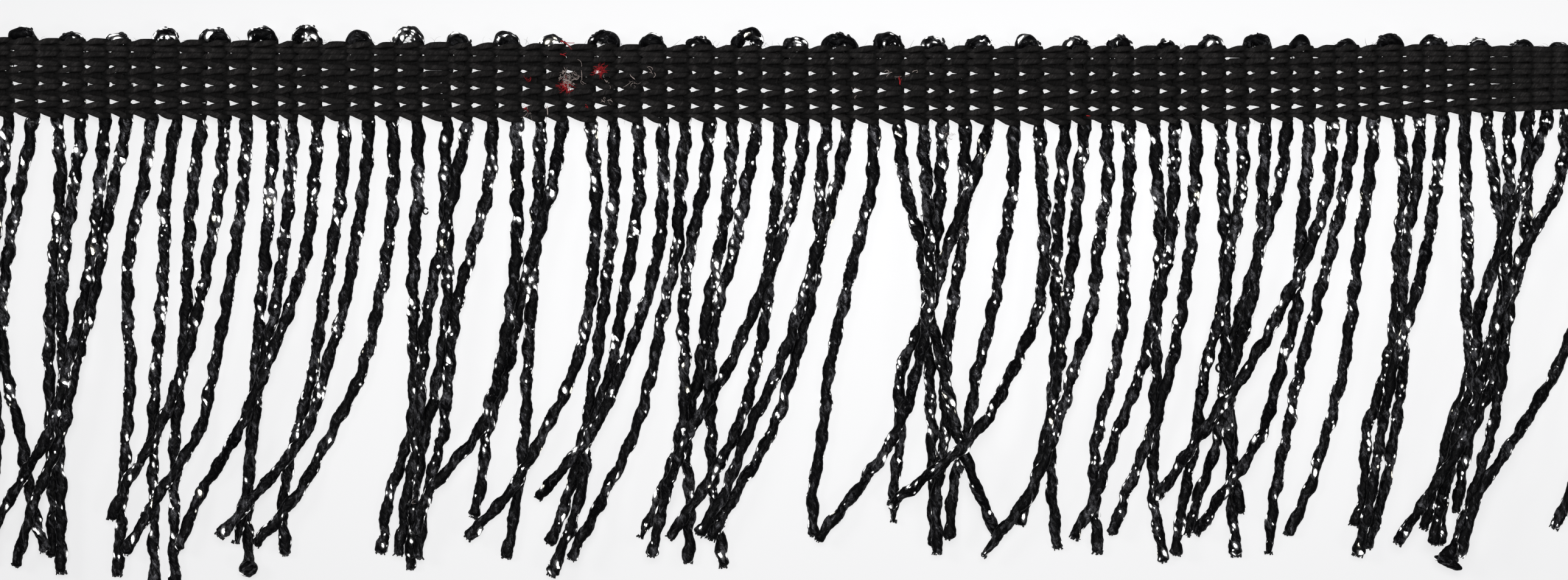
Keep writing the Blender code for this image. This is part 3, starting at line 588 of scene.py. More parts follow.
def cord_pair(pair, route, sizes, random):
    """Surface of one pair of cords: an oval section whose width breathes as the flat cord turns.

    x = w * cos(angle) * (1 + relief), y = h * sin(angle) * (1 + relief), with w different on either side.
    relief = stitches round and along the turned cord, two rows of them on each face, and knobs at the crest.
    """
    length, crest_at = lengths_and_crest(route)
    total = length[-1]
    bounds = (TIP_REACH, crest_at - CREST_REACH, crest_at + CREST_REACH, total - TIP_REACH)
    runs = [np.linspace(begin, end, int(round((end - begin) / (sizes.ring_step * pace))), endpoint=False)
            for begin, end, pace in zip(bounds, bounds[1:], (1.0, CREST_PACE, 1.0))]
    stations = np.concatenate([TIP_RINGS, *runs, bounds[-1:], total - TIP_RINGS[::-1]])
    inward = np.minimum(stations, total - stations)
    rows = softened(points_at(route, stations, length), RING_SOFTENING)
    swing = waves(stations, *SWING, random) * np.clip(inward / SWING_ONSET, 0.0, 1.0)
    centre = rows[:, :3].copy()
    centre[:, :2] += side_vectors(rows[:, :2]) * swing[:, None]
    mean, breath = (sizes.wide + sizes.narrow) / 4, (sizes.wide - sizes.narrow) / 4
    begin = random.uniform(0.0, ROUND)
    beat = 2 * ROUND * stations / sizes.turn + begin
    left, right = (mean + breath * np.sin(beat + lag) + waves(stations, periods, FLANK_SWELLS, random)
                   for lag, periods in zip((0.0, FLANK_LAG), FLANK_PERIODS))
    shape = np.where(stations < total / 2, tip_shape(2 * pair, inward), tip_shape(2 * pair + 1, inward))
    place = stations[:, None]
    angle = (ROUND * np.arange(CORD_SIDES) / CORD_SIDES - math.pi / 2)[None, :]
    column = 4 * (angle + ROUND * place / sizes.turn + begin) / ROUND
    slant = np.abs(2 * (column - np.floor(column)) - 1)
    stitch = np.abs(np.sin(math.pi * (place / sizes.stitch + 0.5 * slant)))
    relief = STITCH_RELIEF * (stitch - STITCH_LEVEL) * np.clip(inward / STITCH_ONSET, 0.0, 1.0)[:, None]
    knobs = sum(size * np.sin(times * angle + ROUND * place / (period * MM) + start * begin)
                for times, period, start, size in KNOBS)
    relief = relief + KNOB_RELIEF * np.exp(-((place - crest_at) / KNOB_REACH) ** 2) * knobs
    cosine = np.cos(angle)
    width = (left + right)[:, None] / 2 + (right - left)[:, None] / 2 * cosine
    x_offsets = width * cosine * (1 + relief) * (shape * rows[:, 4])[:, None]
    thick = np.minimum(shape, THICKEST)[:, None]
    y_offsets = rows[:, 3:4] * np.sin(angle) * (1 + UPRIGHT_RELIEF * relief) * thick
    return tube(centre, (x_offsets, y_offsets), CORD_GIRTH * MM, start=pair * PAIR_LENGTH)


def fibre(start, turn, rise, sweep, length, radius, taper=0.7, sides=3, rings=6, rounded=False):
    """A fine fibre on an arc: its direction turns by sweep over its length while it climbs and comes down.

    direction = (cos, sin, rise * (1 - 1.6 * share)) of turn + sweep * share, summed over even steps.
    """
    share = np.linspace(0.0, 1.0, rings)
    heading = turn + sweep * share
    ahead = np.stack([np.cos(heading), np.sin(heading), rise * (1 - 1.6 * share)], axis=1)
    steps = np.concatenate([np.zeros((1, 3)), (ahead[1:] + ahead[:-1]) / 2])
    centre = start + np.cumsum(steps, axis=0) * length / (rings - 1)
    thin = radius * (np.sin(math.pi * (0.03 + 0.94 * share)) ** 0.6 if rounded else 1 - taper * share)
    return tube(centre, oval(thin, thin, rings, sides), 6.3 * radius, up=(0.13, 0.21, 0.97))


# Proud stitches on each loop: how many, how widely they lie round the crest, and how far out of the line
# of centres, as a share of the half width and half height
PROUD_STITCHES = 10
PROUD_SPREAD = 1.1 * MM
PROUD_OUT = 0.87


def loop_stitches(routes, sizes, random):
    """Stitches of the cord that stand proud on its loops: short thick arcs laid over the crest.

    place = line of centres + outward * half width * cos(lean) + up * half height * sin(lean).
    """
    parts = []
    for route in routes:
        length, crest_at = lengths_and_crest(route)
        for _ in range(PROUD_STITCHES):
            spot = crest_at + random.normal(0.0, PROUD_SPREAD)
            row, near = points_at(route, spot + np.array((0.0, 0.2 * MM)), length)
            turn = math.atan2(near[1] - row[1], near[0] - row[0])
            lean = random.uniform(-0.2, 1.4)
            out = (sizes.wide + sizes.narrow) / 4 * row[4] * math.cos(lean) * PROUD_OUT
            reach = random.uniform(0.42, 0.78) * MM
            slant = turn + random.normal(0.0, 0.38)
            place = row[:3] + (-math.sin(turn) * out - math.cos(slant) * reach / 2,
                               math.cos(turn) * out - math.sin(slant) * reach / 2,
                               row[3] * math.sin(lean) * PROUD_OUT)
            parts.append(fibre(place, slant, random.normal(0.0, 0.1), random.normal(-0.6, 0.3), reach,
                               random.uniform(0.13, 0.21) * MM, sides=6, rings=7, rounded=True))
    return parts


def lump_surface(place, random):
    """A lump of pulled-up film at a tip: an oval ball of the given half sizes, turned in plan.

    Ring = half sizes * (-cos, sin) of the polar angle * (1 + waves round and along the skin).
    """
    x_mm, y_mm, z_mm, half_x, half_y, half_z, tilt = place
    rings, sides = 22, 20
    polar = np.linspace(0.02, math.pi - 0.02, rings)[:, None]
    angle = ROUND * np.arange(sides) / sides
    wavy = (1 + 0.07 * np.sin(5 * angle + 3 * polar + random.uniform(0, 6))
            + 0.05 * np.sin(9 * polar + 2 * angle))
    turn = math.radians(tilt)
    along = -np.cos(polar) * half_x
    centre = (np.array((x_mm, y_mm, z_mm)) + along * (math.cos(turn), math.sin(turn), 0.0)) * MM
    thick = np.sin(polar[:, 0]) * MM
    sections = [wavy * offsets for offsets in oval(thick * half_y, thick * half_z, rings, sides)]
    return tube(centre, sections, 5.0 * MM, start=7.9)


def curl_surface(place):
    """A nearly closed ring of film: radius * cos, 1.25 * radius * sin and 0.18 mm * sin of the angle."""
    x_mm, y_mm, z_mm, radius, thick = place
    rings, sides = 22, 8
    angle = np.linspace(0.5, ROUND - 0.2, rings)
    centre = np.stack([x_mm + radius * np.cos(angle), y_mm + 1.25 * radius * np.sin(angle),
                       z_mm + 0.18 * np.sin(angle)], axis=1) * MM
    return tube(centre, oval(thick * MM, thick * MM, rings, sides), 1.0 * MM, start=3.3)


# Cut filaments at a frayed tip, and from how many to under how many at any other; snagged ones on a cord
FRAYED_COUNT = 14
TIP_COUNTS = (4, 8)
SNAG_COUNTS = (3, 8)


def tip_fibres(cords, random):
    """Cut filaments at every tip, a few on most and a brush of them where the knitting has come open."""
    parts = []
    for index, cord in enumerate(cords):
        ahead = cord[-1, :2] - cord[-8, :2]
        ahead /= np.linalg.norm(ahead)
        frayed = index in FRAYED_TIPS
        for _ in range(FRAYED_COUNT if frayed else random.integers(*TIP_COUNTS)):
            turn = math.atan2(ahead[1], ahead[0]) + random.normal(0.0, 0.25)
            place = cord[-1] + (0.0, 0.0, 0.6 * MM)
            offset = random.uniform(-0.6, 0.6)
            place[:2] += np.array([-ahead[1], ahead[0]]) * offset * MM - ahead * 0.35 * MM
            place[2] += random.uniform(-0.35, 0.25) * MM
            length = random.uniform(0.38, 0.52) * MM * (1.3 if frayed else 1.0)
            parts.append(fibre(place, turn, random.normal(0.0, 0.12), random.normal(0.0, 0.5), length,
                               random.uniform(0.10, 0.19) * MM, taper=0.45, sides=6, rings=5))
    return parts


def stray_filaments(cords, random):
    """Short snagged filaments that stand out of the cords' sides along their whole length."""
    parts = []
    for cord in cords:
        curve = cord[:, :2]
        sides = side_vectors(curve)
        for spot in random.integers(6, len(curve) - 6, random.integers(*SNAG_COUNTS)):
            out = sides[spot] * random.choice((-1.0, 1.0))
            height = cord[spot, 2] + random.uniform(0.5, 1.0) * MM
            place = np.array([*(curve[spot] + out * 0.66 * MM), height])
            ahead = (curve[spot + 3] - curve[spot - 3]) * random.choice((-1.0, 1.0))
            leaning = ahead / np.linalg.norm(ahead) + out * random.uniform(0.3, 0.9)
            back = np.sign(leaning[0] * -out[1] + leaning[1] * out[0])
            parts.append(fibre(place, math.atan2(leaning[1], leaning[0]), random.uniform(0.0, 0.4),
                               back * random.uniform(0.6, 2.4), random.uniform(0.30, 0.80) * MM,
                               random.uniform(0.02, 0.045) * MM))
    return parts


# Heading: five wales of chain stitches over ground threads

# A stitch's length, how far its closed end lies past a cord's root, and the pit past the closed end
STITCH_LENGTH = 3.06 * MM
END_PAST_ROOT = 0.78 * MM
PIT_PAST_END = 1.45 * MM
# Jitter of the stitches' closed ends and of their legs, and in mm how far neighbouring wales overlap
END_JITTER = 0.05 * MM
LEG_JITTER = 0.025 * MM
WALE_OVERLAP = 0.065
# Share of the full opening from place to place in mm: the stitches pull shut towards both ends
OPENNESS = ((-101.0, -60.0, -20.0, 66.0, 80.0, 89.0, 95.0), (0.84, 0.94, 1.0, 1.0, 0.62, 0.42, 0.03))
# Yarn of a stitch: girth in mm on the flat map, rings, sides, and how far apart stitches lie on the map
YARN_GIRTH = 2.1
YARN_RINGS = 25
YARN_SIDES = 8
STITCH_SHIFT = 13 * MM
# Threads along each wale in mm: height, half width, half height and wander of the flat and the fine one
GROUND_THREADS = ((1.72, 0.42, 0.16, 0.03), (0.21, 0.21, 0.17, 0.07))
# Step of their rings, and how far in mm the flat one dips and widens in each pit
GROUND_STEP = 0.5 * MM
PIT_DEPTH = 0.40
PIT_WIDENING = 0.14
# Loose hairs of the tape, of which one in five stands off an edge
HAIRS = 1500
EDGE_HAIR_EVERY = 5


def openness(along):
    """Share of the full opening at a place along the trim."""
    return np.interp(along / MM, *OPENNESS)


def stitch_ends(random):
    """X of every stitch's closed end, one for each cord, for each wale; the first is one stitch before."""
    roots = np.concatenate([[ROOTS[0] - STITCH_LENGTH], ROOTS])
    ends = roots + END_PAST_ROOT + random.normal(0.0, END_JITTER, (len(WALE_SHARES), len(roots)))
    ends[:, 0] = np.maximum(ends[:, 0], ROOTS[0] - HEADING_OVERHANG - 0.2 * MM)
    return ends


def wale_middle(along, wale):
    """Y of the middle of a wale, and its width, at places along the trim."""
    high, low = heading_edges(along)
    share = WALE_SHARES[wale]
    return high - (high - low) * (WALE_SHARES[:wale].sum() + share / 2), (high - low) * share


def wale_stitches(wale, ends, sizes, random):
    """Control points of every stitch of one wale: a leg out of the last stitch, the closed end, a leg back.

    Across the wale a leg lies at edge - half width, with edge = half the wale + swell - notch * narrowing.
    Gives places (stitch, point, 3) and half widths (stitch, point).
    """
    left, right = ends[:-1], ends[1:]
    count = len(left)
    swells = (EDGE_SWELLS[0], *(0.0 for _ in OPENING_HEIGHTS), EDGE_SWELLS[1])
    notches = (EDGE_NOTCHES[0], *(height / 2 for height in OPENING_HEIGHTS), EDGE_NOTCHES[1])
    reaches = (EDGE_LENGTHS[0], *OPENING_LENGTHS, EDGE_LENGTHS[1])
    wide, tight = sizes.yarn_wide / 2, sizes.yarn_tight / 2
    deep, face = sizes.back, sizes.face
    legs = []
    for side, row in ((1.0, wale), (-1.0, wale + 1)):
        notch = notches[row] * openness(left) * MM * random.uniform(0.86, 1.12, count)
        reach = reaches[row] * MM * (0.55 + 0.45 * openness(left)) * random.uniform(0.85, 1.15, count)
        # X, narrowing, or none inside a stitch and then its place across, height, and half width
        points = (
            (left - 1.00 * MM, None, 0.20 * MM, deep - 0.10 * MM, tight * 0.9),
            (left - 0.62 * MM, None, 0.25 * MM, deep + 0.34 * MM, tight),
            (left - 0.18 * MM, 1.00, None, face - 0.07 * MM, tight),
            (left + 0.20 * MM, 0.97, None, face, tight),
            (left + reach * 0.55, 0.50, None, face + 0.03 * MM, (tight + wide) / 2),
            (left + reach + 0.10 * MM, 0.04, None, face - 0.03 * MM, wide),
            (right - 1.05 * MM, 0.0, None, face - 0.12 * MM, wide * 0.90),
            (right - 0.45 * MM, 0.06, None, face - 0.42 * MM, wide * 0.97),
            (right - wide * 0.98, None, 0.42 * MM, deep + 0.06 * MM, wide * 0.92),
        )
        leg = []
        for along, narrowing, out, height, half in points:
            middle, width = wale_middle(along, wale)
            if narrowing is not None:
                edge = width / 2 + (WALE_OVERLAP + swells[row]) * MM - notch * narrowing
                if narrowing >= 0.5:
                    half = np.minimum(wide, edge * 0.5 + 0.03 * MM)
                out = edge - half
            across = middle + side * out + random.normal(0.0, LEG_JITTER, count)
            leg.append((np.stack([along, across, np.full(count, height)], axis=1), half))
        legs.append(leg)
    along = right - wide * 0.93
    apex = np.stack([along, wale_middle(along, wale)[0], np.full(count, deep)], axis=1)
    chain = legs[0] + [(apex, wide * 0.9)] + legs[1][::-1]
    halves = np.stack([np.broadcast_to(half, count) for _, half in chain], axis=1)
    return np.stack([point for point, _ in chain], axis=1), halves


def through(points, per_span):
    """Smooth line through control points: on each span, a cubic with slopes from the points around it."""
    before = np.concatenate([2 * points[:1] - points[1:2], points, 2 * points[-1:] - points[-2:-1]])
    share = np.linspace(0.0, 1.0, per_span, endpoint=False)[:, None, None]
    first, second, third, fourth = before[:-3], before[1:-2], before[2:-1], before[3:]
    line = 0.5 * (2 * second + (third - first) * share
                  + (2 * first - 5 * second + 4 * third - fourth) * share ** 2
                  + (3 * second - first - 3 * third + fourth) * share ** 3)
    return np.concatenate([line.transpose(1, 0, 2).reshape(-1, points.shape[1]), points[-1:]])


def heading_stitches(sizes, random):
    """Every stitch of the heading as a bent length of yarn with an oval section."""
    parts = []
    ends = stitch_ends(random)
    for wale in range(len(WALE_SHARES)):
        places, halves = wale_stitches(wale, ends[wale], sizes, random)
        for number, controls in enumerate(places):
            line = through(np.column_stack([controls, halves[number]]), 4)
            length = lengths_along(line[:, :3])
            even = points_at(line, np.linspace(0.0, length[-1], YARN_RINGS), length)
            half = even[:, 3] * random.uniform(0.95, 1.06)
            sections = oval(half, sizes.yarn_height / 2, YARN_RINGS, YARN_SIDES, math.pi / YARN_SIDES)
            parts.append(tube(even[:, :3], sections, YARN_GIRTH * MM,
                              start=(wale * 80 + number) * STITCH_SHIFT))
    return parts


def ground_threads(random):
    """Threads that run along every wale: a flat one under the stitches and a fine one behind the cords.

    height = level - depth * cos(2 pi * stitch), so that the flat thread dips into the pits between the legs.
    """
    reach = HEADING_OVERHANG - 0.1 * MM
    along = np.arange(ROOTS[0] - reach, ROOTS[-1] + reach, GROUND_STEP)
    stitch = np.interp(along, ROOTS + END_PAST_ROOT + PIT_PAST_END, np.arange(len(ROOTS)),
                       left=-0.4, right=len(ROOTS) - 0.6)
    pit = np.cos(ROUND * stitch)
    parts = []
    for wale in range(len(WALE_SHARES)):
        level = wale_middle(along, wale)[0]
        for (height, half_width, half_height, sway), dip in zip(GROUND_THREADS, (pit, 0.0 * pit)):
            wander = waves(along, (STITCH_LENGTH / MM, 7.7), (sway, 0.04), random)
            centre = np.stack([along, level + wander, (height - PIT_DEPTH * dip) * MM], axis=1)
            sections = oval((half_width + PIT_WIDENING * dip) * MM, half_height * MM, len(along), 8)
            parts.append(tube(centre, sections, 2.0 * MM, start=len(parts) * 0.3))
    return parts


def heading_hairs(random):
    """Loose fibres of the spun yarn: most lie along the stitches, some stand off the edges."""
    parts = []
    for number in range(HAIRS):
        along = random.uniform(ROOTS[0] - 1.2 * MM, ROOTS[-1] + 1.2 * MM)
        high, low = heading_edges(along)
        if number % EDGE_HAIR_EVERY == 0:
            upper = random.random() < 0.6
            place = (along, high - 0.12 * MM if upper else low + 0.45 * MM, random.uniform(1.7, 2.5) * MM)
            turn = math.radians(random.uniform(10, 170)) * (1 if upper else -1)
            rise = random.uniform(-0.2, 0.3)
            length = random.uniform(0.3, 1.1)
        else:
            place = (along, random.uniform(low + 0.5 * MM, high - 0.1 * MM), random.uniform(2.45, 2.62) * MM)
            turn = random.normal(0.0, 0.7) + (math.pi if random.random() < 0.5 else 0.0)
            rise = random.uniform(0.0, 0.30)
            length = random.uniform(0.5, 1.6)
        parts.append(fibre(place, turn, rise, random.normal(0.0, 1.5), length * MM,
                           random.uniform(0.012, 0.030) * MM))
    return parts


def lint(table, random):
    """Tufts and threads of lint: short curled fibres round each place, or a few side by side as a thread."""
    parts = []
    for x_mm, y_mm, z_mm, spread, count, points in table:
        tuft = points is None
        for _ in range(count):
            place = np.array([x_mm, y_mm, z_mm]) * MM
            place[:2] += random.normal(0.0, 0.44 * spread if tuft else 0.05, 2) * MM
            turn = random.uniform(0.0, ROUND) if tuft else math.radians(points + random.normal(0, 9))
            thick = random.uniform(*((0.015, 0.045) if tuft else (0.04, 0.07)))
            reach = random.uniform(*((0.5, 1.3) if tuft else (0.8, 1.2)))
            sweep = random.normal(0.0, 3.2 if tuft else 0.4)
            parts.append(fibre(place, turn, random.uniform(0.0, 0.4), sweep, spread * reach * MM, thick * MM,
                               taper=0.3, rings=11))
    return parts


# Materials


class Value:
    """An output of a shader node; * / + with a number or another value add Math nodes to its tree."""

    def __init__(self, socket):
        self.socket = socket
        self.tree = socket.id_data

    def math(self, operation, *others):
        """What a Math node makes of this value and the others."""
        made = self.tree.nodes.new("ShaderNodeMath")
        made.operation = operation
        for socket, value in zip(made.inputs, (self, *others)):
            feed(socket, value)
        return Value(made.outputs[0])

    def __add__(self, other):
        return self.math("ADD", other)

    def __mul__(self, other):
        return self.math("MULTIPLY", other)

    def __truediv__(self, other):
        return self.math("DIVIDE", other)

    def ramp(self, low, high, out_low=0.0, out_high=1.0):
        """Smooth step of this value between two limits."""
        made = add_node(self.tree, "MapRange", interpolation_type="SMOOTHSTEP", Value=self, From_Min=low,
                        From_Max=high, To_Min=out_low, To_Max=out_high)
        return Value(made.outputs["Result"])

    def parts(self, kind="XYZ"):
        """The three numbers of a vector, or of a colour."""
        made = self.tree.nodes.new("ShaderNodeSeparate" + kind)
        feed(made.inputs[0], self)
        return [Value(socket) for socket in made.outputs]


def feed(socket, value):
    """Link a value to an input, or set the input to a plain number or colour."""
    if isinstance(value, Value):
        value.tree.links.new(value.socket, socket)
    else:
        socket.default_value = value


def add_node(tree, kind, **values):
    """A new shader node; values feed its inputs or set its attributes, by name."""
    made = tree.nodes.new("ShaderNode" + kind)
    for key, value in values.items():
        name = key.replace("_", " ")
        if name in made.inputs:
            feed(made.inputs[name], value)
        else:
            setattr(made, key, value)
    return made


def blend(share, first, second):
    """Mix of two colours by a share; each is a colour or a value."""
    made = add_node(share.tree, "Mix", data_type="RGBA")
    for number, value in ((0, share), (6, first), (7, second)):
        feed(made.inputs[number], value)
    return Value(made.outputs[2])


def flat_vector(first, second):
    """A vector out of two values."""
    return Value(add_node(first.tree, "CombineXYZ", X=first, Y=second).outputs[0])


def noise(where, detail, roughness=0.5, scale=1.0, dimensions="2D", distortion=0.0):
    """A Noise Texture over a vector, or over one number; gives its value and its colour."""
    made = add_node(where.tree, "TexNoise", noise_dimensions=dimensions, Detail=detail, Roughness=roughness,
                    Scale=scale, Distortion=distortion)
    feed(made.inputs["W" if dimensions == "1D" else "Vector"], where)
    return Value(made.outputs["Fac"]), Value(made.outputs["Color"])


def effect(name, outputs, **inputs):
    """An empty node group over a map, with named numbers; gives it, its inputs and its end's sockets."""
    group = bpy.data.node_groups.new(name, "ShaderNodeTree")
    group.interface.new_socket(name="Vector", in_out="INPUT", socket_type="NodeSocketVector")
    for key, number in inputs.items():
        label = key.replace("_", " ")
        socket = group.interface.new_socket(name=label, in_out="INPUT", socket_type="NodeSocketFloat")
        socket.default_value = number
    for label in outputs:
        group.interface.new_socket(name=label, in_out="OUTPUT", socket_type="NodeSocketFloat")
    given = {socket.name: Value(socket) for socket in group.nodes.new("NodeGroupInput").outputs}
    return group, given, group.nodes.new("NodeGroupOutput").inputs


# Depth of the relief that the materials add
RELIEF_DEPTH = 0.08 * MM
# Two layers of painted glint spots: cells a mm along and round, share of cells with a spot, least reach,
# reach over that by lot, and dimmest level
GLINT_FLECK_LAYERS = ((0.78, 1.30, 1.08, 0.19, 0.27, 0.95), (1.50, 2.3, 0.52, 0.19, 0.22, 0.80))


def film_effect():
    """Spots of painted glint in ovals with a faint painted halo, greyer patches with a painted sheen, and the
    knitted relief, over a length-and-round map.
    """
    group, given, out = effect("glints, sheen and stitches", ("Glint fleck", "Sheen patch", "Tint", "Height"),
                               Fleck_share=0.3, Turn=8.8, Girth=CORD_GIRTH, Stitch=1.0)
    along, round_it, _ = given["Vector"].parts()
    turned = along * (given["Girth"] / given["Turn"] * 0.6) + round_it
    # Painted glints gather in places along and round the cord
    gathered = noise(flat_vector(along * 0.19, turned * 0.33), 1.0, 0.4)[0].ramp(0.40, 0.66)
    plenty = (gathered * 2.3 + 0.10) * given["Fleck share"]
    # Their cells are shaken loose, so that no rows of them show
    shift = noise(flat_vector(along, turned), 2.0, scale=3.1)[1].parts("Color")
    loose_along = shift[0] * 0.26 + along
    glint_flecks = []
    for layer, loose_round in zip(GLINT_FLECK_LAYERS, (shift[1] * 0.20 + turned, shift[2] * 0.22 + round_it)):
        pace, width, share, least, more, dim = layer
        spots = add_node(group, "TexVoronoi", voronoi_dimensions="2D", Scale=1.0, Randomness=0.95,
                         Vector=flat_vector(loose_along * pace, loose_round * width))
        away = Value(spots.outputs["Distance"])
        lots = Value(spots.outputs["Color"]).parts("Color")
        reach = lots[1].math("POWER", 1.5) * more + least
        # Each spot is a painted glint, with a faint painted halo round it
        spot = away.ramp(reach * 0.82, reach, 1.0, 0.0)
        painted_halo = away.ramp(reach * 0.8, reach * 1.9, 0.09, 0.0)
        level = spot.math("MAXIMUM", painted_halo) * lots[2].ramp(0.0, 0.7, dim, 1.0)
        glint_flecks.append((level * lots[0].math("LESS_THAN", plenty * share), lots[2], away))
    feed(out["Glint fleck"], glint_flecks[0][0].math("MAXIMUM", glint_flecks[1][0]))
    feed(out["Tint"], glint_flecks[0][1])
    # Greyer patches with a painted sheen: cloudy film along the slanting stitches, broken up by threads
    column = turned / given["Girth"] * 4.0
    slant = (column.math("FRACT") * 2.0 + -1.0).math("ABSOLUTE")
    phase = slant * 0.5 + along / given["Stitch"]
    cloudy = noise(flat_vector(phase * 0.25 + along * 0.55, turned * 1.5), 5.0, 0.68, distortion=0.25)[0]
    slow = noise(along * 0.13, 1.0, dimensions="1D")[0]
    edge = slow * -0.24 + gathered * -0.07 + 0.63
    threads = noise(flat_vector(phase * 5.5, column * 2.2), 2.0)[0]
    feed(out["Sheen patch"], cloudy.ramp(edge + 0.015, edge + 0.25) * threads.ramp(0.32, 0.68, 0.40, 1.25))
    # Relief: legs of the stitches, threads, and a rise towards the middle of each fleck
    leg = (phase * math.pi).math("SINE").math("ABSOLUTE")
    feed(out["Height"], glint_flecks[1][2] * -0.8 + threads * 0.5 + leg.math("POWER", 0.7))
    return group


def spun_effect():
    """Plies and loose fibres of a spun yarn, over a length-and-round map."""
    group, given, out = effect("spun yarn", ("Fibre", "Height"), Ply_length=1.7, Girth=YARN_GIRTH)
    along, round_it, _ = given["Vector"].parts()
    turned = along / given["Ply length"] + round_it / given["Girth"]
    ply = (turned * ROUND).math("SINE").math("ABSOLUTE")
    fibres = noise(flat_vector(along * 1.3, turned * 6.5), 5.0, 0.68, distortion=1.1)[0]
    feed(out["Fibre"], fibres.ramp(0.42, 0.74))
    feed(out["Height"], fibres * 1.3 + ply.math("POWER", 0.6) * 0.4)
    return group


def new_material(name):
    """A material with a Principled shader, its tree, and where a point is in the object."""
    material = bpy.data.materials.new(name)
    material.use_nodes = True
    tree = material.node_tree
    return material, tree, Value(tree.nodes.new("ShaderNodeTexCoord").outputs["Object"])


def place_effect(tree, group, **values):
    """Put an effect into a material, over the piece's own map. Gives its outputs by name."""
    made = tree.nodes.new("ShaderNodeGroup")
    made.node_tree = group
    for key, value in values.items():
        feed(made.inputs[key.replace("_", " ")], value)
    feed(made.inputs["Vector"], Value(add_node(tree, "UVMap", uv_map=FLAT_MAP).outputs[0]))
    return {socket.name: Value(socket) for socket in made.outputs}


def raised(height, strength):
    """The normal of a surface with relief, from a height."""
    made = add_node(height.tree, "Bump", Distance=RELIEF_DEPTH, Strength=strength, Height=height)
    return Value(made.outputs[0])


def dress(tree, **values):
    """Feed or set the inputs of the tree's Principled shader, by name."""
    for key, value in values.items():
        feed(tree.nodes["Principled BSDF"].inputs[key.replace("_", " ")], value)


def darker(colour, share):
    """A colour with its red, green and blue brought down to a share."""
    return (*(share * part for part in colour[:3]), 1.0)


def cord_material(sizes, film_group):
    """Black metallised cord: dark film, greyer patches with a painted sheen, and small white spots of painted
    glint that glow as if they mirrored the lamps.
    """
    material, tree, place = new_material("metallic cord")
    # Spots of painted glint are plentiful at the loops and near the heading, and more so on the flanks than
    # on the crown
    down = place.parts()[1]
    facing = Value(tree.nodes.new("ShaderNodeNewGeometry").outputs["Normal"]).parts()[2]
    loops = down.ramp(0.0078, 0.0090, 0.0, 0.10)
    share = down.ramp(-0.055, -0.005, 0.072, 0.145) * facing.ramp(0.25, 0.95, 2.3, 0.70) + loops
    film = place_effect(tree, film_group, Fleck_share=share, Turn=sizes.turn / MM, Girth=CORD_GIRTH,
                        Stitch=sizes.stitch / MM)
    glint_fleck = film["Glint fleck"]
    # Greyer patches with a painted sheen, fewer on the loops and towards the tips
    sheen_patch = film["Sheen patch"] * (loops * -8.0 + down.ramp(-0.050, -0.005, 0.68, 1.05))
    glint = tuple(sizes.glint)
    glint_colour = blend(film["Tint"].math("GREATER_THAN", 0.97), glint, (1.0, 0.94, 0.74, 1.0))
    sheened = blend(sheen_patch, tuple(sizes.body), tuple(sizes.sheen))
    # Base colour and emission paint the glints: the spots are white and glow, as if they mirrored the lamps
    dress(tree, Base_Color=blend(glint_fleck, sheened, glint_colour), Metallic=(glint_fleck * 0.35).math("MAXIMUM", sheen_patch * 0.5),
          Roughness=glint_fleck * -0.06 + sheen_patch.ramp(0.0, 1.0, 0.46, 0.34), Specular_IOR_Level=0.04,
          Emission_Color=blend(glint_fleck, (0.0, 0.0, 0.0, 1.0), glint), Emission_Strength=0.45,
          Normal=raised(film["Height"], 0.55))
    return material


def filament_material(sizes, film_group):
    """Single cut filaments of the cord, with greyer patches of painted sheen."""
    material, tree, _ = new_material("cut filament")
    film = place_effect(tree, film_group, Fleck_share=0.10, Turn=3.0, Girth=0.3, Stitch=0.6)
    dress(tree, Base_Color=blend(film["Sheen patch"], tuple(sizes.body), tuple(sizes.sheen)), Roughness=0.5,
          Specular_IOR_Level=0.2)
    return material


def yarn_material(name, spun, dark, light, ply, girth, roughness, deep=None):
    """Matt spun yarn: plies, and paler loose fibres on its surface; deep gives the heights of its shade."""
    material, tree, place = new_material(name)
    yarn = place_effect(tree, spun, Ply_length=ply, Girth=girth)
    colour = blend(yarn["Fibre"], dark, light)
    if deep:
        # Fine mottle, and shade that deepens into the pits between the stitches
        mottle = noise(place, 3.0, 0.6, 900.0, "3D")[0].ramp(0.30, 0.72, 0.25, 1.0)
        face = mottle * place.parts()[2].ramp(*deep, 0.0, 0.92) + 0.08
        colour = blend(face, darker(dark, 0.20), colour)
    dress(tree, Base_Color=colour, Roughness=roughness, Specular_IOR_Level=0.12,
          Normal=raised(yarn["Height"], 0.6))
    return material


# The floor's painted pool of light in metres: middle and reach along X, and along Y
POOL = ((0.022, 0.185), (-0.008, 0.076))


def floor_material(colour):
    """Pale floor that glows, with the faintest mottle: a painted pool of light, brightest at the middle of
    the trim and softly greyer all round.

    Share of the brightest = 1 / (1 + (x / reach) squared + (y / reach) squared), from the pool's middle.
    """
    material, tree, place = new_material("pale floor")
    across, up = ((axis + -middle) / reach for axis, (middle, reach) in zip(place.parts(), POOL))
    pool = (across * across + up * up + 1.0).math("POWER", -1.0)
    shade = noise(place, 3.0, scale=9.0, dimensions="3D")[0] * 0.03 + pool
    dress(tree, Base_Color=blend(shade, (0.13, 0.13, 0.131, 1.0), (0.16, 0.16, 0.161, 1.0)), Roughness=0.9,
          # The floor glows by itself with its painted pool of light, and so lights the trim from below
          Emission_Color=blend(shade, darker(colour, 0.64), tuple(colour)), Emission_Strength=1.0,
          Specular_IOR_Level=0.1)
    return material


# Operators

# Seeds of the random draws for the cords, the proud stitches and the tape
CORD_SEED, PROUD_SEED, TAPE_SEED = 41, 29, 17


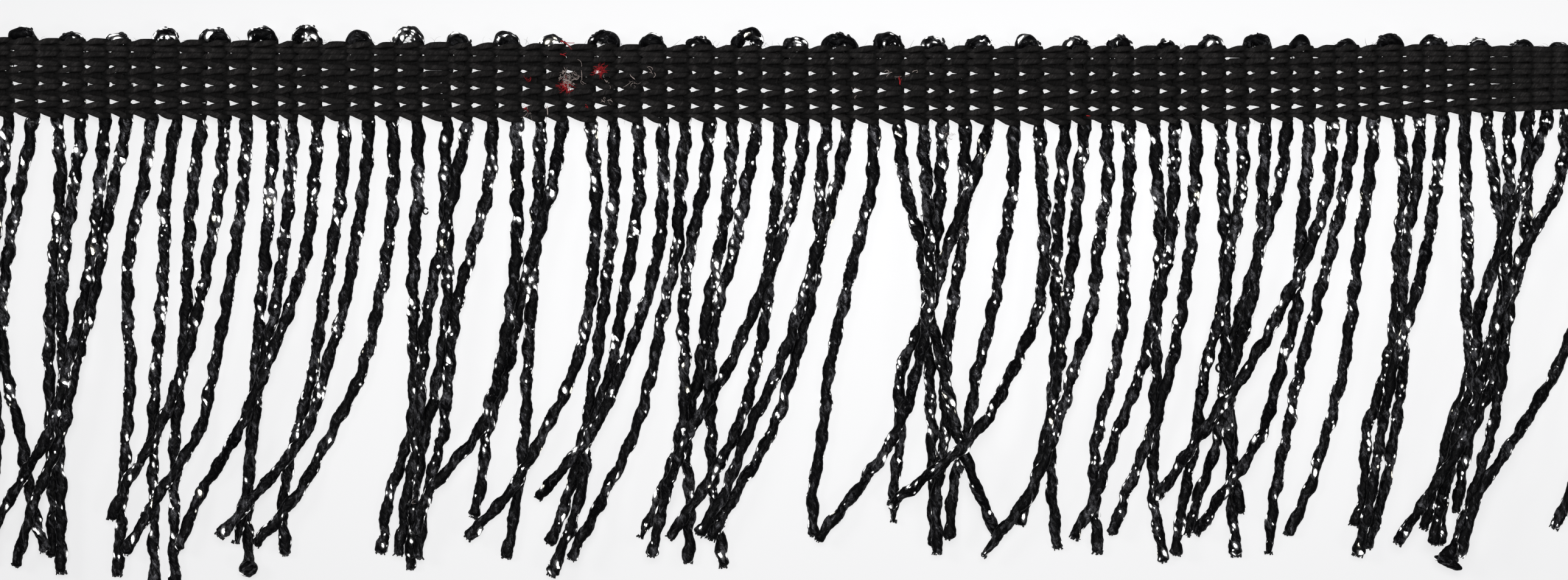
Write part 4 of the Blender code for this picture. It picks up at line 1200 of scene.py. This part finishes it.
class TRIM_OT_make_fringe(bpy.types.Operator):
    """Build the metallic cords: hanging lengths, turned loops over the heading, and tips"""

    bl_idname = "trim.make_fringe"
    bl_label = "Make fringe"

    def execute(self, context):
        sizes = context.scene.trim_cord
        random = np.random.default_rng(CORD_SEED)
        cords = lying_cords()
        routes = [pair_route(pair, cords, sizes) for pair in range(len(cords) // 2)]
        film_group = film_effect()
        material = cord_material(sizes, film_group)
        share = len(routes) // CORD_PIECES
        for part in range(CORD_PIECES):
            chosen = range(part * share, (part + 1) * share)
            surfaces = [cord_pair(pair, routes[pair], sizes, random) for pair in chosen]
            begin, end = CORD_TABLE[2 * chosen[0]][0], CORD_TABLE[2 * chosen[-1] + 1][0] + ROOT_SPACING
            surfaces += [lump_surface(place, random) for place in LUMPS if begin <= place[0] < end]
            make_piece("fringe_cords_%d" % (part + 1), surfaces, material, "metallic_cord", "fringe")
        filaments = tip_fibres(cords, random) + stray_filaments(cords, random)
        filaments += [curl_surface(place) for place in CURLS]
        filaments += loop_stitches(routes, sizes, np.random.default_rng(PROUD_SEED))
        make_piece("fringe_filaments", filaments, filament_material(sizes, film_group), "metallic_cord",
                   "fringe")
        return {"FINISHED"}


# The heading's yarns: length of a ply, girth in mm and roughness of each, and dark and light colours
STITCH_MAKE = (1.7, YARN_GIRTH, 0.92)
THREAD_MAKE = (1.1, 2.0, 0.9)
HAIR_MAKE = (0.9, 0.2, 0.8)
HAIR_COLOURS = ((0.012, 0.011, 0.011, 1.0), (0.05, 0.047, 0.045, 1.0))
RED_COLOURS = ((0.30, 0.012, 0.016, 1.0), (0.5, 0.03, 0.035, 1.0))
PALE_COLOURS = ((0.34, 0.28, 0.26, 1.0), (0.72, 0.64, 0.60, 1.0))
# The ground threads lie in the pits between the stitches and are coloured darker than the yarn: painted shade
THREAD_SHADE_COLOUR = (0.003, 0.0028, 0.0028, 1.0)
# Heights between which the yarn of a stitch goes from full shade to its full colour
SHADE_HEIGHTS = (2.20 * MM, 2.56 * MM)


class TRIM_OT_make_heading(bpy.types.Operator):
    """Build the knitted heading: stitches, ground threads and loose hairs"""

    bl_idname = "trim.make_heading"
    bl_label = "Make heading"

    def execute(self, context):
        sizes = context.scene.trim_heading
        random = np.random.default_rng(TAPE_SEED)
        spun = spun_effect()
        black, fibre_colour = tuple(sizes.black), tuple(sizes.fibre)
        tape, ground, hairs, red_bits, pale_bits = (
            make_piece(name, parts, yarn_material(finish, spun, *make), "knitted_tape", "heading")
            for name, parts, finish, make in (
                ("heading_stitches", heading_stitches(sizes, random), "spun yarn",
                 (black, fibre_colour, *STITCH_MAKE, SHADE_HEIGHTS)),
                ("heading_ground", ground_threads(random), "ground thread in painted shade",
                 (THREAD_SHADE_COLOUR, black, *THREAD_MAKE)),
                ("heading_hairs", heading_hairs(random), "loose hair", (*HAIR_COLOURS, *HAIR_MAKE)),
                ("lint_red", lint(RED_LINT, random), "red fibre", (*RED_COLOURS, *HAIR_MAKE)),
                ("lint_pale", lint(PALE_LINT, random), "pale fibre", (*PALE_COLOURS, *HAIR_MAKE))))
        return {"FINISHED"}


# The stage in metres: half side and cells of the floor, strength of the light from all round, what the lamps
# point at, each lamp's place, size and power, and the camera's sensor in mm
FLOOR_REACH = 1.6
FLOOR_CELLS = 8
WORLD_STRENGTH = 0.12
LIGHT_TARGET = (0.0, -0.02, 0.0)
LIGHTS = (("overhead", (0.0, 0.25, 1.9), 0.9, 34.0), ("left side", (-0.9, 0.3, 0.8), 0.35, 4.0),
          ("right side", (0.8, -0.5, 0.9), 0.30, 2.5))
SENSOR = 36.0


class TRIM_OT_make_stage(bpy.types.Operator):
    """Build the floor, the lights and the camera that looks straight down"""

    bl_idname = "trim.make_stage"
    bl_label = "Make stage"

    def execute(self, context):
        sizes = context.scene.trim_stage
        data = bpy.data.meshes.new("floor")
        steps = np.linspace(-FLOOR_REACH, FLOOR_REACH, FLOOR_CELLS + 1)
        x, y = np.meshgrid(steps, steps, indexing="ij")
        row = FLOOR_CELLS + 1
        first = (np.arange(FLOOR_CELLS)[:, None] * row + np.arange(FLOOR_CELLS)).ravel()
        faces = np.stack([first, first + row, first + row + 1, first + 1], axis=1)
        points = np.stack([x.ravel(), y.ravel(), np.zeros(x.size)], axis=1)
        data.from_pydata(points.tolist(), [], faces.tolist())
        data.materials.append(floor_material(sizes.floor))
        floor = self.show(context, "floor", data)
        world = bpy.data.worlds.new("studio")
        world.use_nodes = True
        background = world.node_tree.nodes["Background"]
        background.inputs["Color"].default_value = (1.0, 1.0, 1.0, 1.0)
        background.inputs["Strength"].default_value = WORLD_STRENGTH
        context.scene.world = world
        for name, place, size, power in LIGHTS:
            light = bpy.data.lights.new(name, "AREA")
            light.size = size
            light.energy = power
            lamp = self.show(context, name, light)
            away = np.array(place) - np.array(LIGHT_TARGET)
            lamp.rotation_euler = (math.atan2(math.hypot(away[0], away[1]), away[2]), 0.0,
                                   math.atan2(away[1], away[0]) + math.pi / 2)
            lamp.location = place
            lamp.visible_camera = False
        camera = self.show(context, "camera", bpy.data.cameras.new("camera"))
        camera.location = (0.0, sizes.middle, sizes.distance)
        camera.data.sensor_width = SENSOR
        camera.data.lens = SENSOR * sizes.distance / sizes.view_width
        camera.data.clip_start = 0.05
        camera.data.clip_end = 20.0
        context.scene.camera = camera
        context.scene.view_settings.view_transform = "Standard"
        return {"FINISHED"}

    @staticmethod
    def show(context, name, data):
        """A new object of the scene that holds the data."""
        made = bpy.data.objects.new(name, data)
        context.scene.collection.objects.link(made)
        return made


class TRIM_PT_panel(bpy.types.Panel):
    """Buttons for the trim's pieces and their sizes"""

    bl_idname = "TRIM_PT_panel"
    bl_label = "Chainette fringe trim"
    bl_space_type = "VIEW_3D"
    bl_region_type = "UI"
    bl_category = "Trim"

    def draw(self, context):
        for group in ("trim_cord", "trim_heading", "trim_stage"):
            box = self.layout.box()
            values = getattr(context.scene, group)
            for name in values.bl_rna.properties.keys():
                if name not in ("rna_type", "name"):
                    box.prop(values, name)
        for operator in STEPS:
            self.layout.operator(operator.bl_idname)


GROUPS = (("trim_cord", CordSizes), ("trim_heading", HeadingSizes), ("trim_stage", StageSizes))
STEPS = (TRIM_OT_make_fringe, TRIM_OT_make_heading, TRIM_OT_make_stage)


def register():
    """Register the sizes, the steps and the panel."""
    for name, group in GROUPS:
        bpy.utils.register_class(group)
        setattr(bpy.types.Scene, name, bpy.props.PointerProperty(type=group))
    for step in STEPS:
        bpy.utils.register_class(step)
    bpy.utils.register_class(TRIM_PT_panel)


def unregister():
    """Take the panel, the steps and the sizes away again."""
    bpy.utils.unregister_class(TRIM_PT_panel)
    for step in reversed(STEPS):
        bpy.utils.unregister_class(step)
    for name, group in reversed(GROUPS):
        delattr(bpy.types.Scene, name)
        bpy.utils.unregister_class(group)


def main():
    """Build the trim step by step."""
    register()
    bpy.ops.trim.make_fringe()
    bpy.ops.trim.make_heading()
    bpy.ops.trim.make_stage()


if __name__ == "__main__":
    main()
